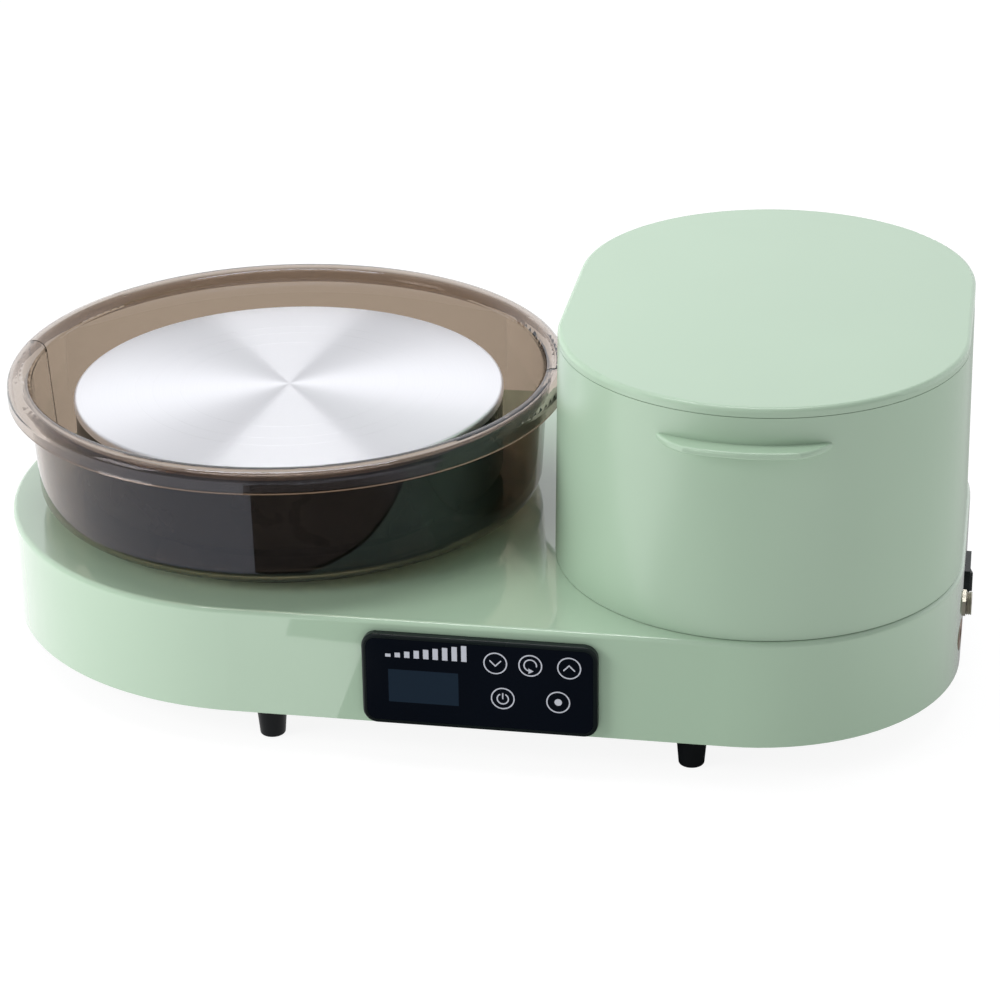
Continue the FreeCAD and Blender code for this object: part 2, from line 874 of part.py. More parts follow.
def make_bearing_housing():
    """Cast flange and tube with a bearing seat at each end."""
    seat = bearing_radius + press_gap
    corners = [
        (seat, housing_low),
        (housing_flange_radius - fit_gap, housing_low),
        (housing_flange_radius - fit_gap, flange_top),
        (housing_radius, flange_top),
        (housing_radius, housing_top),
        (seat, housing_top),
        (seat, bearing_high),
        (housing_bore_radius, bearing_high),
        (housing_bore_radius, housing_low + bearing_width),
        (seat, housing_low + bearing_width),
    ]
    body = at_wheel("housing_body", corners)
    tools = holes(
        "housing_hole", bolt_radius + screw_gap, housing_flange_thick, housing_spots, housing_low
    )
    return node(cut("housing_finished", body, tools), "bearing_housing")


def make_bearing(name, low):
    """Two races and a ring of balls, each its own node."""
    high = low + bearing_width
    inner = ring_corners(spindle_radius + press_gap, inner_race_radius, low, high)
    node(at_wheel(name + "_inner_body", inner), name + "_inner_race")
    outer = ring_corners(outer_race_radius, bearing_radius, low, high)
    node(at_wheel(name + "_outer_body", outer), name + "_outer_race")
    balls = []
    for number, (x, y) in enumerate(circle_spots(wheel_x, wheel_y, ball_ring, ball_count, 0), 1):
        ball = doc.addObject("Part::Sphere", "%s_ball_%d" % (name, number))
        bind(ball, "Radius", ball_radius)
        place(ball, x, y, low + bearing_width / 2)
        balls.append(ball)
    node(group(name + "_ball_set", balls), name + "_balls")


def make_spindle():
    """The turned shaft: plain length, shoulder, nose, and a groove for its clip."""
    low = cover_top + spindle_end_gap
    groove_low = pulley_low - clip_thick - run_gap
    groove_high = pulley_low
    groove = spindle_radius - clip_depth
    corners = [
        (NOWHERE, low),
        (spindle_radius, low),
        (spindle_radius, groove_low),
        (groove, groove_low),
        (groove, groove_high),
        (spindle_radius, groove_high),
        (spindle_radius, shoulder_low),
        (shoulder_radius, shoulder_low),
        (shoulder_radius, shoulder_top),
        (nose_radius, shoulder_top),
        (nose_radius, head_under - press_gap),
        (NOWHERE, head_under - press_gap),
    ]
    node(at_wheel("spindle_body", corners), "spindle")
    clip = ring_corners(groove + press_gap, clip_radius, groove_low + press_gap, groove_high)
    node(at_wheel("clip_body", clip), "spindle_clip")
    spacer = ring_corners(spindle_radius + press_gap, inner_race_radius, pulley_top, housing_low)
    node(at_wheel("spacer_body", spacer), "spindle_spacer")


make_bearing_housing()
screw_set(
    "housing_screws",
    BOLT,
    housing_flange_thick + flange_pad,
    housing_spots,
    housing_low,
    "up",
)
make_bearing("upper_bearing", bearing_high)
make_bearing("lower_bearing", housing_low)
make_spindle()

# ---------------------------------------------------------------- wheel head

hub_spots = circle_spots(wheel_x, wheel_y, hub_screw_radius, 4, 0)
skirt_spots = circle_spots(wheel_x, wheel_y, skirt_screw_radius, 6, 30)


def make_wheel_head():
    """The turned aluminium disc that the clay is centred on."""
    body = at_wheel("head_body", ring_corners(NOWHERE, wheel_radius, head_under, head_top))
    round_rims(body, [(wheel_radius, head_top)], wheel_edge_round)
    pilot = bolt_radius + screw_gap
    tools = holes("head_hub_hole", pilot, bolt_bite, hub_spots, head_under)
    tools += holes("head_skirt_hole", screw_radius + screw_gap, bolt_bite, skirt_spots, head_under)
    return node(cut("head_finished", body, tools), "wheel_head")


def make_wheel_skirt():
    """The dark drum under the disc that keeps slurry off the bearing."""
    low = base_top + skirt_clear_rise
    ring_low = head_under - skirt_wall
    corners = [
        (skirt_radius - skirt_wall, low),
        (skirt_radius, low),
        (skirt_radius, head_under),
        (skirt_radius - skirt_ring_width, head_under),
        (skirt_radius - skirt_ring_width, ring_low),
        (skirt_radius - skirt_wall, ring_low),
    ]
    body = at_wheel("skirt_body", corners)
    tools = holes("skirt_hole", screw_radius + screw_gap, skirt_wall, skirt_spots, ring_low)
    return node(cut("skirt_finished", body, tools), "wheel_skirt")


def make_hub():
    """The flanged hub that joins the spindle's nose to the disc."""
    bore = nose_radius + press_gap
    corners = [
        (bore, shoulder_top),
        (hub_boss_radius, shoulder_top),
        (hub_boss_radius, hub_under),
        (hub_flange_radius, hub_under),
        (hub_flange_radius, head_under),
        (bore, head_under),
    ]
    body = at_wheel("hub_body", corners)
    tools = holes("hub_hole", bolt_radius + screw_gap, hub_flange_thick, hub_spots, hub_under)
    return node(cut("hub_finished", body, tools), "wheel_hub")


make_wheel_head()
make_wheel_skirt()
make_hub()
screw_set("hub_screws", BOLT, hub_flange_thick + bolt_bite * 0.9, hub_spots, hub_under, "up")
screw_set(
    "skirt_screws",
    SCREW,
    skirt_wall + bolt_bite * 0.9,
    skirt_spots,
    head_under - skirt_wall,
    "up",
)

# ---------------------------------------------------------------- belt drive and motor


def pulley_corners(bore, radius, hub):
    """Section of a flanged flat-belt pulley, webbed when it is wide."""
    rim_inner = radius - pulley_rim
    outer = radius + pulley_lip
    low_flange = pulley_low + pulley_flange
    high_flange = pulley_top - pulley_flange
    web_low = pulley_low + (pulley_width - pulley_web) / 2
    web_high = web_low + pulley_web
    face = [
        (outer, pulley_low),
        (outer, low_flange),
        (radius, low_flange),
        (radius, high_flange),
        (outer, high_flange),
        (outer, pulley_top),
    ]
    if rim_inner.value <= hub.value:
        return [(bore, pulley_low)] + face + [(bore, pulley_top)]
    high_side = [(rim_inner, pulley_top), (rim_inner, web_high), (hub, web_high), (hub, pulley_top)]
    low_side = [(hub, pulley_low), (hub, web_low), (rim_inner, web_low), (rim_inner, pulley_low)]
    return [(bore, pulley_low)] + low_side + face + high_side + [(bore, pulley_top)]


def make_belt():
    """A flat belt: two arcs and the two straight runs that are tangent to them."""
    start = FreeCAD.Vector(wheel_x.value, wheel_y.value, 0)
    end = FreeCAD.Vector(motor_x.value, motor_y.value, 0)
    span = (end - start).Length
    heading = math.atan2(end.y - start.y, end.x - start.x)

    def loop(large, small):
        lean = math.acos((large - small) / span)

        def on(centre, radius, angle):
            return centre + FreeCAD.Vector(math.cos(angle), math.sin(angle), 0) * radius

        high = heading + lean
        low = heading - lean
        points = {
            "large_high": on(start, large, high),
            "large_back": on(start, large, heading + math.pi),
            "large_low": on(start, large, low),
            "small_low": on(end, small, low),
            "small_tip": on(end, small, heading),
            "small_high": on(end, small, high),
        }
        edges = [
            Part.Arc(points["large_high"], points["large_back"], points["large_low"]).toShape(),
            Part.LineSegment(points["large_low"], points["small_low"]).toShape(),
            Part.Arc(points["small_low"], points["small_tip"], points["small_high"]).toShape(),
            Part.LineSegment(points["small_high"], points["large_high"]).toShape(),
        ]
        return Part.Face(Part.Wire(edges))

    inner = belt_gap.value
    outer = belt_gap.value + belt_thick.value
    ring = loop(driven_radius.value + outer, driver_radius.value + outer).cut(
        loop(driven_radius.value + inner, driver_radius.value + inner)
    )
    item = doc.addObject("Part::Feature", "belt_band")
    item.Shape = ring.extrude(FreeCAD.Vector(0, 0, belt_width.value))
    item.Placement = FreeCAD.Placement(FreeCAD.Vector(0, 0, belt_low.value), FACING["up"])
    return node(item, "drive_belt")


def make_motor():
    """Can, end cap, stator ring, rotor and shaft."""
    cavity_low = motor_low + motor_wall
    cavity_high = motor_top - motor_wall * 2
    can_inner = motor_radius - motor_wall
    shaft_bore = motor_shaft_radius + run_gap
    can = [
        (NOWHERE, cavity_high),
        (can_inner, cavity_high),
        (can_inner, motor_low),
        (motor_radius, motor_low),
        (motor_radius, motor_top),
        (NOWHERE, motor_top),
    ]
    motor_spots = circle_spots(motor_x, motor_y, motor_screw_radius, 4, 45)
    tools = holes("can_hole", screw_radius + screw_gap, motor_wall * 1.5, motor_spots, motor_top, "down")
    node(cut("can_finished", at_motor("can_body", can), tools), "motor_can")
    cap = ring_corners(shaft_bore, can_inner - press_gap, motor_low, cavity_low)
    node(at_motor("cap_body", cap), "motor_end_cap")
    stator_outer = can_inner - press_gap
    stator_low = cavity_low + motor_wall
    stator_high = cavity_high - motor_wall
    stator = ring_corners(stator_outer - stator_thick, stator_outer, stator_low, stator_high)
    node(at_motor("stator_body", stator), "motor_stator")
    turning = stator_outer - stator_thick - air_gap
    rotor = ring_corners(motor_shaft_radius + press_gap, turning, stator_low, stator_high)
    node(at_motor("rotor_body", rotor), "motor_rotor")
    shaft = ring_corners(NOWHERE, motor_shaft_radius, pulley_low - clip_thick, cavity_high - seat_gap)
    node(at_motor("shaft_body", shaft), "motor_shaft")
    bore = motor_shaft_radius + press_gap
    driver = pulley_corners(bore, driver_radius, driver_radius)
    node(at_motor("driver_body", driver), "motor_pulley")
    screw_set(
        "motor_screws", SCREW, bracket_thick + motor_wall * 1.4, motor_spots, bracket_top, "down"
    )
    plate = centred_box(
        "bracket_plate", bracket_length, bracket_width, bracket_thick, motor_x, motor_y, motor_top
    )
    hole = screw_radius + screw_gap
    bracket_tools = holes("bracket_hole", hole, bracket_thick, bracket_spots, motor_top)
    bracket_tools += holes("bracket_motor_hole", hole, bracket_thick, motor_spots, motor_top)
    node(cut("bracket_finished", plate, bracket_tools), "motor_bracket")
    screw_set(
        "bracket_screws",
        SCREW,
        bracket_thick + bracket_drop * 0.9,
        bracket_spots,
        motor_top,
        "up",
    )


driven = pulley_corners(spindle_radius + press_gap, driven_radius, pulley_hub_radius)
node(at_wheel("driven_body", driven), "driven_pulley")
make_belt()
make_motor()

# ---------------------------------------------------------------- splash pan

pan_low = base_top + seat_gap
pan_floor = base_top + pan_floor_rise
pan_floor_top = pan_floor + pan_wall
pan_top = base_top + pan_rise
pan_skirt_low = pan_top - pan_lip_drop
lip_inner = pan_lip_radius - pan_lip_width
lip_round = pan_lip_width / 2 - run_gap
channel_round = lip_round - pan_wall
pan_split_y = wheel_y + pan_split


def make_pan_ring():
    """The whole pan before it is split: collar, floor, wall and rolled lip."""
    corners = [
        (pan_collar_radius, pan_floor),
        (pan_collar_radius, base_top + pan_collar_rise),
        (pan_collar_radius + pan_wall, base_top + pan_collar_rise),
        (pan_collar_radius + pan_wall, pan_floor_top),
        (pan_bottom_radius - pan_wall, pan_floor_top),
        (lip_inner, pan_top),
        (pan_lip_radius, pan_top),
        (pan_lip_radius, pan_skirt_low),
        (pan_lip_radius - pan_wall, pan_skirt_low),
        (pan_lip_radius - pan_wall, pan_top - pan_wall),
        (lip_inner + pan_wall, pan_top - pan_wall),
        (pan_bottom_radius, pan_floor),
        (pan_ring_radius + pan_ring_width, pan_floor),
        (pan_ring_radius + pan_ring_width, pan_low),
        (pan_ring_radius, pan_low),
        (pan_ring_radius, pan_floor),
    ]
    body = at_wheel("pan_body", corners)
    round_rims(body, [(lip_inner, pan_top), (pan_lip_radius, pan_top)], lip_round)
    channel = [
        (pan_lip_radius - pan_wall, pan_top - pan_wall),
        (lip_inner + pan_wall, pan_top - pan_wall),
    ]
    round_rims(body, channel, channel_round)
    round_rims(body, [(pan_bottom_radius, pan_floor)], pan_corner_round)
    inner_corner = (pan_bottom_radius - pan_wall, pan_floor_top)
    round_rims(body, [inner_corner], pan_corner_round - pan_wall)
    return body


def pan_side(name, ring, side):
    """The part of a ring on one side of the split: -1 is the front."""
    reach = base_depth
    start = pan_split_y + pan_split_gap / 2 if side > 0 else pan_split_y - pan_split_gap / 2 - reach
    half = box(name + "_space", reach * 2, reach, pan_rise * 2, wheel_x - reach, start, base_top)
    return common(name, ring, half)


def make_pan():
    """Front and rear halves that meet edge to edge."""
    ring = make_pan_ring()
    node(pan_side("pan_front_half", ring, -1), "splash_pan_front")
    node(pan_side("pan_rear_half", ring, 1), "splash_pan_rear")


make_pan()

# ---------------------------------------------------------------- storage box and lid

box_low_half = box_half_width + box_taper
box_inner_half = box_half_width - box_wall


def make_ledge():
    """The crescent grip on the front of the box."""
    low = base_top + ledge_rise - ledge_thick
    arc_y = box_y - box_arm
    reach_y = arc_y - box_half_width - ledge_reach
    sweep = cylinder(
        "ledge_sweep", box_half_width + ledge_reach, ledge_thick, box_x, arc_y, low
    )
    blank = box(
        "ledge_blank",
        ledge_half_length * 2,
        box_half_width,
        ledge_thick,
        box_x - ledge_half_length,
        reach_y,
        low,
    )

    def front_corner(edge):
        bounds = edge.BoundBox
        return bounds.ZLength > 1 and abs(bounds.YMin - reach_y.value) < 0.001

    grip = common(
        "ledge_grip", rounded("ledge_corners", blank, ledge_corner, front_corner), sweep
    )
    rear_y = reach_y.value + box_half_width.value - 0.001

    def outer_edge(edge):
        bounds = edge.BoundBox
        return bounds.ZLength < 0.001 and bounds.YMin < rear_y

    return rounded("ledge_rounded", grip, ledge_round, outer_edge)


def make_storage_box():
    """Draughted tub with a floor set above the base's locating pad."""
    outer = tapered_oblong("tub_outer", box_low_half, box_half_width, box_low, box_height)
    solid = fuse("tub_solid", [outer, make_ledge()])
    floor_low = base_top + pad_rise + fit_gap * 2
    floor_top = floor_low + box_wall
    inside = oblong("tub_inside", box_inner_half, floor_top, box_top - floor_top)
    recess = oblong("tub_recess", box_low_half - box_wall, box_low, floor_low - box_low)
    return node(cut("tub_finished", solid, [inside, recess]), "storage_box")


def make_storage_lid():
    """Flat lid with a short skirt and a rim that drops inside the box."""
    low = box_top + seat_gap
    plate = rounded(
        "lid_plate",
        oblong("lid_blank", box_half_width, low, lid_height),
        lid_edge_round,
        level_edge(low + lid_height),
    )
    under = oblong("lid_under", box_inner_half, low, lid_height - lid_top)
    rim_half = box_inner_half - fit_gap
    rim_outer = oblong("lid_rim_outer", rim_half, low - lid_rim_depth, lid_rim_depth + lid_height - lid_top)
    rim_inner = oblong(
        "lid_rim_inner", rim_half - lid_rim_wall, low - lid_rim_depth, lid_rim_depth + lid_height - lid_top
    )
    rim = cut("lid_rim", rim_outer, [rim_inner])
    shell = cut("lid_shell", plate, [under])
    return node(fuse("lid_finished", [shell, rim]), "storage_lid")


make_storage_box()
make_storage_lid()

# ---------------------------------------------------------------- control panel

window_x = panel_x + window_along
window_z = panel_z + window_rise
board_y_front = front_y + shell_wall + spacer_length


def window_block(name, margin, y, depth):
    """A block behind or in the display window, larger than it by a margin."""
    return box(
        name,
        window_width + as_size(margin) * 2,
        depth,
        window_height + as_size(margin) * 2,
        window_x - window_width / 2 - margin,
        y,
        window_z - window_height / 2 - margin,
    )


def make_panel():
    """Housing, printed overlay, window, display and control board."""
    plate = panel_plate(
        "panel_blank", panel_width, panel_height, panel_corner, panel_proud, panel_front
    )

    def front_edge(edge):
        bounds = edge.BoundBox
        return bounds.YLength < 0.001 and abs(bounds.YMin - panel_front.value) < 0.001

    bevelled = rounded("panel_bevelled", plate, panel_bevel, front_edge)
    overlay_width = panel_width - overlay_border * 2
    overlay_height = panel_height - overlay_border * 2
    overlay_corner = panel_corner - overlay_border
    pocket = panel_plate(
        "panel_pocket",
        overlay_width + fit_gap / 2,
        overlay_height + fit_gap / 2,
        overlay_corner + fit_gap / 4,
        overlay_thick,
        panel_front,
    )
    tools = [pocket, window_block("panel_window_hole", fit_gap, panel_front, panel_proud)]
    for number, (x, z) in enumerate(panel_screw_spots, 1):
        tools.append(
            cylinder(
                "panel_pilot_%d" % number,
                screw_radius + screw_gap,
                panel_screw_bite + screw_gap * 4,
                x,
                front_y,
                z,
                "front",
            )
        )
    node(cut("panel_finished", bevelled, tools), "panel_housing")
    sheet_plate = panel_plate(
        "overlay_blank", overlay_width, overlay_height, overlay_corner, overlay_thick, panel_front
    )
    opening = window_block("overlay_opening", press_gap, panel_front, overlay_thick)
    node(cut("overlay_finished", sheet_plate, [opening]), "panel_overlay")
    node(window_block("window_lens", NOWHERE, panel_front, overlay_thick), "display_window")
    display_front = board_y_front - display_thick
    node(window_block("display_body", -press_gap, display_front, display_thick), "display_module")
    board = box(
        "control_blank",
        panel_width - control_board_margin * 2,
        board_thick,
        panel_height - control_board_margin * 2,
        panel_x - panel_width / 2 + control_board_margin,
        board_y_front,
        panel_z - panel_height / 2 + control_board_margin,
    )
    board_tools = []
    spacers = []
    screws = []
    pilot = screw_radius + screw_gap
    length = board_thick + spacer_length + shell_wall + panel_screw_bite
    for number, (x, z) in enumerate(panel_screw_spots, 1):
        board_tools.append(
            cylinder("control_hole_%d" % number, pilot, board_thick, x, board_y_front, z, "back")
        )
        ring = revolved(
            "panel_spacer_%d" % number,
            ring_corners(pilot, standoff_radius, NOWHERE, spacer_length),
            x,
            front_y + shell_wall,
            z,
            FACING["back"],
        )
        spacers.append(ring)
        screws.append(
            screw(
                "panel_screw_%d" % number, SCREW, length, x, board_y_front + board_thick, z, "front"
            )
        )
    node(cut("control_finished", board, board_tools), "control_board")
    node(group("panel_spacer_set", spacers), "panel_spacers")
    node(group("panel_screw_set", screws), "panel_screws")


make_panel()

# ---------------------------------------------------------------- rocker switch

switch_y = wheel_y + switch_across
cavity_length = switch_length - (switch_rim + switch_wall) * 2 + switch_wall
cavity_height = switch_height - (switch_rim + switch_wall) * 2
pivot_x = side_x + switch_flange - pivot_depth


def make_switch():
    """Frame let into the side, pivot pin, and the rocker tipped to its off side."""
    flange = box(
        "switch_flange_plate",
        switch_flange,
        switch_length,
        switch_height,
        side_x,
        switch_y - switch_length / 2,
        fitting_z - switch_height / 2,
    )
    body_length = switch_length - switch_rim * 2
    body_height = switch_height - switch_rim * 2
    body = box(
        "switch_case",
        switch_depth,
        body_length,
        body_height,
        side_x - switch_depth,
        switch_y - body_length / 2,
        fitting_z - body_height / 2,
    )
    cavity_depth = switch_depth * 0.7 + switch_flange
    cavity = box(
        "switch_cavity",
        cavity_depth,
        cavity_length,
        cavity_height,
        side_x + switch_flange - cavity_depth,
        switch_y - cavity_length / 2,
        fitting_z - cavity_height / 2,
    )
    pin_length = body_height - switch_wall
    pin_low = fitting_z - pin_length / 2
    pin_hole = cylinder("switch_pin_hole", pivot_radius + press_gap, pin_length, pivot_x, switch_y, pin_low)
    blank = fuse("switch_blank", [flange, body])
    node(cut("switch_finished", blank, [cavity, pin_hole]), "switch_frame")
    pin = cylinder("switch_pin", pivot_radius, pin_length, pivot_x, switch_y, pin_low)
    node(pin, "switch_pivot")

    rocker_height = cavity_height - fit_gap * 2
    rocker = doc.addObject("PartDesign::Body", "rocker_blank")
    sketch = sketch_on(rocker, "XY_Plane", "rocker_outline")
    outline(
        sketch,
        [
            (-rocker_back, -rocker_radius),
            (rocker_crown, -rocker_radius),
            (rocker_crown - rocker_dip, NOWHERE),
            (rocker_crown, rocker_radius),
            (-rocker_back, rocker_radius),
        ],
    )
    pad = rocker.newObject("PartDesign::Pad", "rocker_pad")
    pad.Profile = sketch
    bind(pad, "Length", rocker_height)
    tip = FreeCAD.Rotation(UP, rocker_rest.value)
    rocker_z = fitting_z - rocker_height / 2
    place(rocker, pivot_x, switch_y, rocker_z, tip)
    sweep = cylinder("rocker_sweep", rocker_radius, rocker_height, pivot_x, switch_y, rocker_z)
    bore = cylinder(
        "rocker_bore", pivot_radius + run_gap, rocker_height, pivot_x, switch_y, rocker_z
    )
    turned = common("rocker_turned", rocker, sweep)
    node(cut("rocker_finished", turned, [bore]), "switch_rocker")


make_switch()

# ---------------------------------------------------------------- pedal socket and power inlet


def make_pedal_socket():
    """Round threaded socket for the foot pedal's plug, with pins in an insulator."""
    y = wheel_y + socket_across
    back = -socket_depth
    inner = socket_radius - socket_wall
    inside_face = -shell_wall - run_gap
    thread_start = socket_nut_thick + socket_thread_gap
    flange_back = inside_face - socket_wall * 2
    corners = [
        (inner, back),
        (socket_radius - socket_relief, back),
        (socket_radius - socket_relief, flange_back),
        (socket_flange, flange_back),
        (socket_flange, inside_face),
        (socket_radius - socket_body_step, inside_face),
        (socket_radius - socket_body_step, thread_start),
        (socket_radius, thread_start),
        (socket_radius, socket_proud),
        (inner, socket_proud),
    ]
    shift = socket_depth
    corners = [(radius, height + shift) for radius, height in corners]
    body = revolved("socket_body", corners, side_x - shift, y, fitting_z, FACING["right"])
    node(body, "pedal_socket")

    core_length = socket_depth + socket_proud - socket_mouth
    core = cylinder(
        "socket_core", inner - press_gap, core_length, side_x - socket_depth, y, fitting_z, "right"
    )
    pins = []
    pin_spots = circle_spots(y, fitting_z, socket_pin_ring, socket_pin_count, 90)
    for number, (pin_y, pin_z) in enumerate(pin_spots, 1):
        pins.append(
            cylinder(
                "socket_pin_%d" % number,
                socket_pin_radius,
                socket_depth + socket_proud - socket_wall,
                side_x - socket_depth,
                pin_y,
                pin_z,
                "right",
            )
        )
    node(fuse("socket_insert_solid", [core] + pins), "pedal_socket_insert")

    nut = doc.addObject("Part::Prism", "socket_nut_blank")
    nut.Polygon = 6
    bind(nut, "Circumradius", socket_nut_radius)
    bind(nut, "Height", socket_nut_thick)
    place(nut, side_x, y, fitting_z, FACING["right"])
    hole = cylinder(
        "socket_nut_hole", socket_radius + press_gap, socket_nut_thick, side_x, y, fitting_z, "right"
    )
    node(cut("socket_nut_finished", nut, [hole]), "pedal_socket_nut")


def make_power_inlet():
    """Round low-voltage inlet let flush into the curved side, with its back nut."""
    back = inlet_depth
    corners = [
        (NOWHERE, NOWHERE),
        (inlet_body_radius, NOWHERE),
        (inlet_body_radius, back - inlet_face),
        (inlet_radius, back - inlet_face),
        (inlet_radius, back),
        (inlet_well_radius, back),
        (inlet_well_radius, back / 3),
        (socket_pin_radius * 2, back / 3),
        (socket_pin_radius * 2, back - inlet_face),
        (NOWHERE, back - inlet_face),
    ]
    x, y = along_inlet(-back)
    node(revolved("inlet_body", corners, x, y, inlet_z, inlet_facing), "power_inlet")
    nut_x, nut_y = along_inlet(-shell_wall - inlet_face - inlet_nut_thick)
    nut = ring_corners(inlet_body_radius + press_gap, inlet_nut_radius, NOWHERE, inlet_nut_thick)
    node(revolved("inlet_nut_body", nut, nut_x, nut_y, inlet_z, inlet_facing), "power_inlet_nut")


make_pedal_socket()
make_power_inlet()

# ---------------------------------------------------------------- power board


def make_power_board():
    """Driver board on standoffs, with its capacitors, heat sink and plugs."""
    low = cover_top + standoff_height
    spots = corner_spots(
        board_x, board_y, board_length / 2 - board_screw_inset, board_width / 2 - board_screw_inset
    )
    pilot = screw_radius + screw_gap
    plate = centred_box(
        "power_plate", board_length, board_width, board_thick, board_x, board_y, low
    )
    tools = holes("power_hole", pilot, board_thick, spots, low)
    node(cut("power_plate_finished", plate, tools), "power_board")
    standoffs = []
    for number, (x, y) in enumerate(spots, 1):
        corners = ring_corners(pilot, standoff_radius, cover_top, low)
        standoffs.append(revolved("standoff_%d" % number, corners, x, y))
    node(group("standoff_set", standoffs), "board_standoffs")
    screw_set(
        "board_screws", SCREW, cover_thick + standoff_height + board_thick, spots, foot_height, "up"
    )
    top = low + board_thick
    quarter = board_length / 4
    sink = centred_box("sink_block", 30, 20, 18, board_x, board_y + 16, top)
    fins = []
    for number in range(4):
        x = board_x + 6 * (number - 1.5)
        fins.append(centred_box("sink_gap_%d" % (number + 1), 3, 20, 14, x, board_y + 16, top + 4))
    items = [
        cut("sink_finned", sink, fins),
        cylinder("capacitor_1", 6.5, 20, board_x - quarter, board_y - 12, top),
        cylinder("capacitor_2", 6.5, 20, board_x - quarter, board_y + 6, top),
        centred_box("driver_chip", 12, 12, 2.5, board_x + 2, board_y - 14, top),
        centred_box("plug_1", 8, 20, 9, board_x + quarter, board_y + 12, top),
        centred_box("plug_2", 8, 16, 9, board_x + quarter, board_y - 14, top),
    ]
    node(group("power_items", items), "board_components")


make_power_board()

# ---------------------------------------------------------------- checks and export

doc.recompute()
faults = []
for item in doc.Objects:
    if "Invalid" in item.State or "Error" in item.State:
        faults.append("%s is %s" % (item.Label, item.State))
for name, item in nodes.items():
    if item.Shape.isNull() or not item.Shape.isValid() or not item.Shape.Solids:
        faults.append("%s has no valid solid" % name)
if faults:
    raise RuntimeError("; ".join(faults))

os.makedirs("parts", exist_ok=True)
for name, item in nodes.items():
    item.Shape.exportStep(os.path.join("parts", name + ".step"))
print("%d sub-parts written" % len(nodes))
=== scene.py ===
import json
import math

import bmesh
import bpy
from mathutils import Matrix, Vector

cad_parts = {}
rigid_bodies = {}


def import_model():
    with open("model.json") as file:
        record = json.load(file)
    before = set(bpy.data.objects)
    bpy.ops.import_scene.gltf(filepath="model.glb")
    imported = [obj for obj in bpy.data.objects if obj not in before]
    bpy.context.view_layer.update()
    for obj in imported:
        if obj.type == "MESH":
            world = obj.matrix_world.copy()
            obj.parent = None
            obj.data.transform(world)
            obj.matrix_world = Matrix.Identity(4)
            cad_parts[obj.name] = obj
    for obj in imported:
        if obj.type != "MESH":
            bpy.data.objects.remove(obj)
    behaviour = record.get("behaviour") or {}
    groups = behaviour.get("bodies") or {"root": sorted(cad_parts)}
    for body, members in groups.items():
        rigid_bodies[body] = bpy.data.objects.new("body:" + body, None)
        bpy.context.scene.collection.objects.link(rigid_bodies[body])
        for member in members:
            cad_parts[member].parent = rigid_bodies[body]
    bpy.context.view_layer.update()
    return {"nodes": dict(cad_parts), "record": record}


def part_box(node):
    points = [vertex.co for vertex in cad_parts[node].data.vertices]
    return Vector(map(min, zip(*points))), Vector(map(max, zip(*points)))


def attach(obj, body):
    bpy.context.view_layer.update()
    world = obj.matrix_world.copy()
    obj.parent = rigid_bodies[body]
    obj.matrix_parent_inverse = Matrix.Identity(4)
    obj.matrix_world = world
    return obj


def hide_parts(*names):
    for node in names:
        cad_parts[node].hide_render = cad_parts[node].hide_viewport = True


# Desktop pottery wheel. Metres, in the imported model's frame.

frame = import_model()
MM = 0.001
SCENE = bpy.context.scene
NODES = frame["nodes"]

for default in [item for item in SCENE.objects if item.name in ("Cube", "Light", "Camera")]:
    bpy.data.objects.remove(default)


def box_centre(node):
    """Middle of a CAD node's box."""
    low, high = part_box(node)
    return (low + high) / 2


HEAD_LOW, HEAD_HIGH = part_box("wheel_head")
AXIS = box_centre("wheel_head")
BASE_LOW, BASE_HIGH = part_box("base_shell")
SHELL_HEIGHT = 55
BASE_TOP = BASE_LOW.z + SHELL_HEIGHT * MM


# ---------------------------------------------------------------- node materials

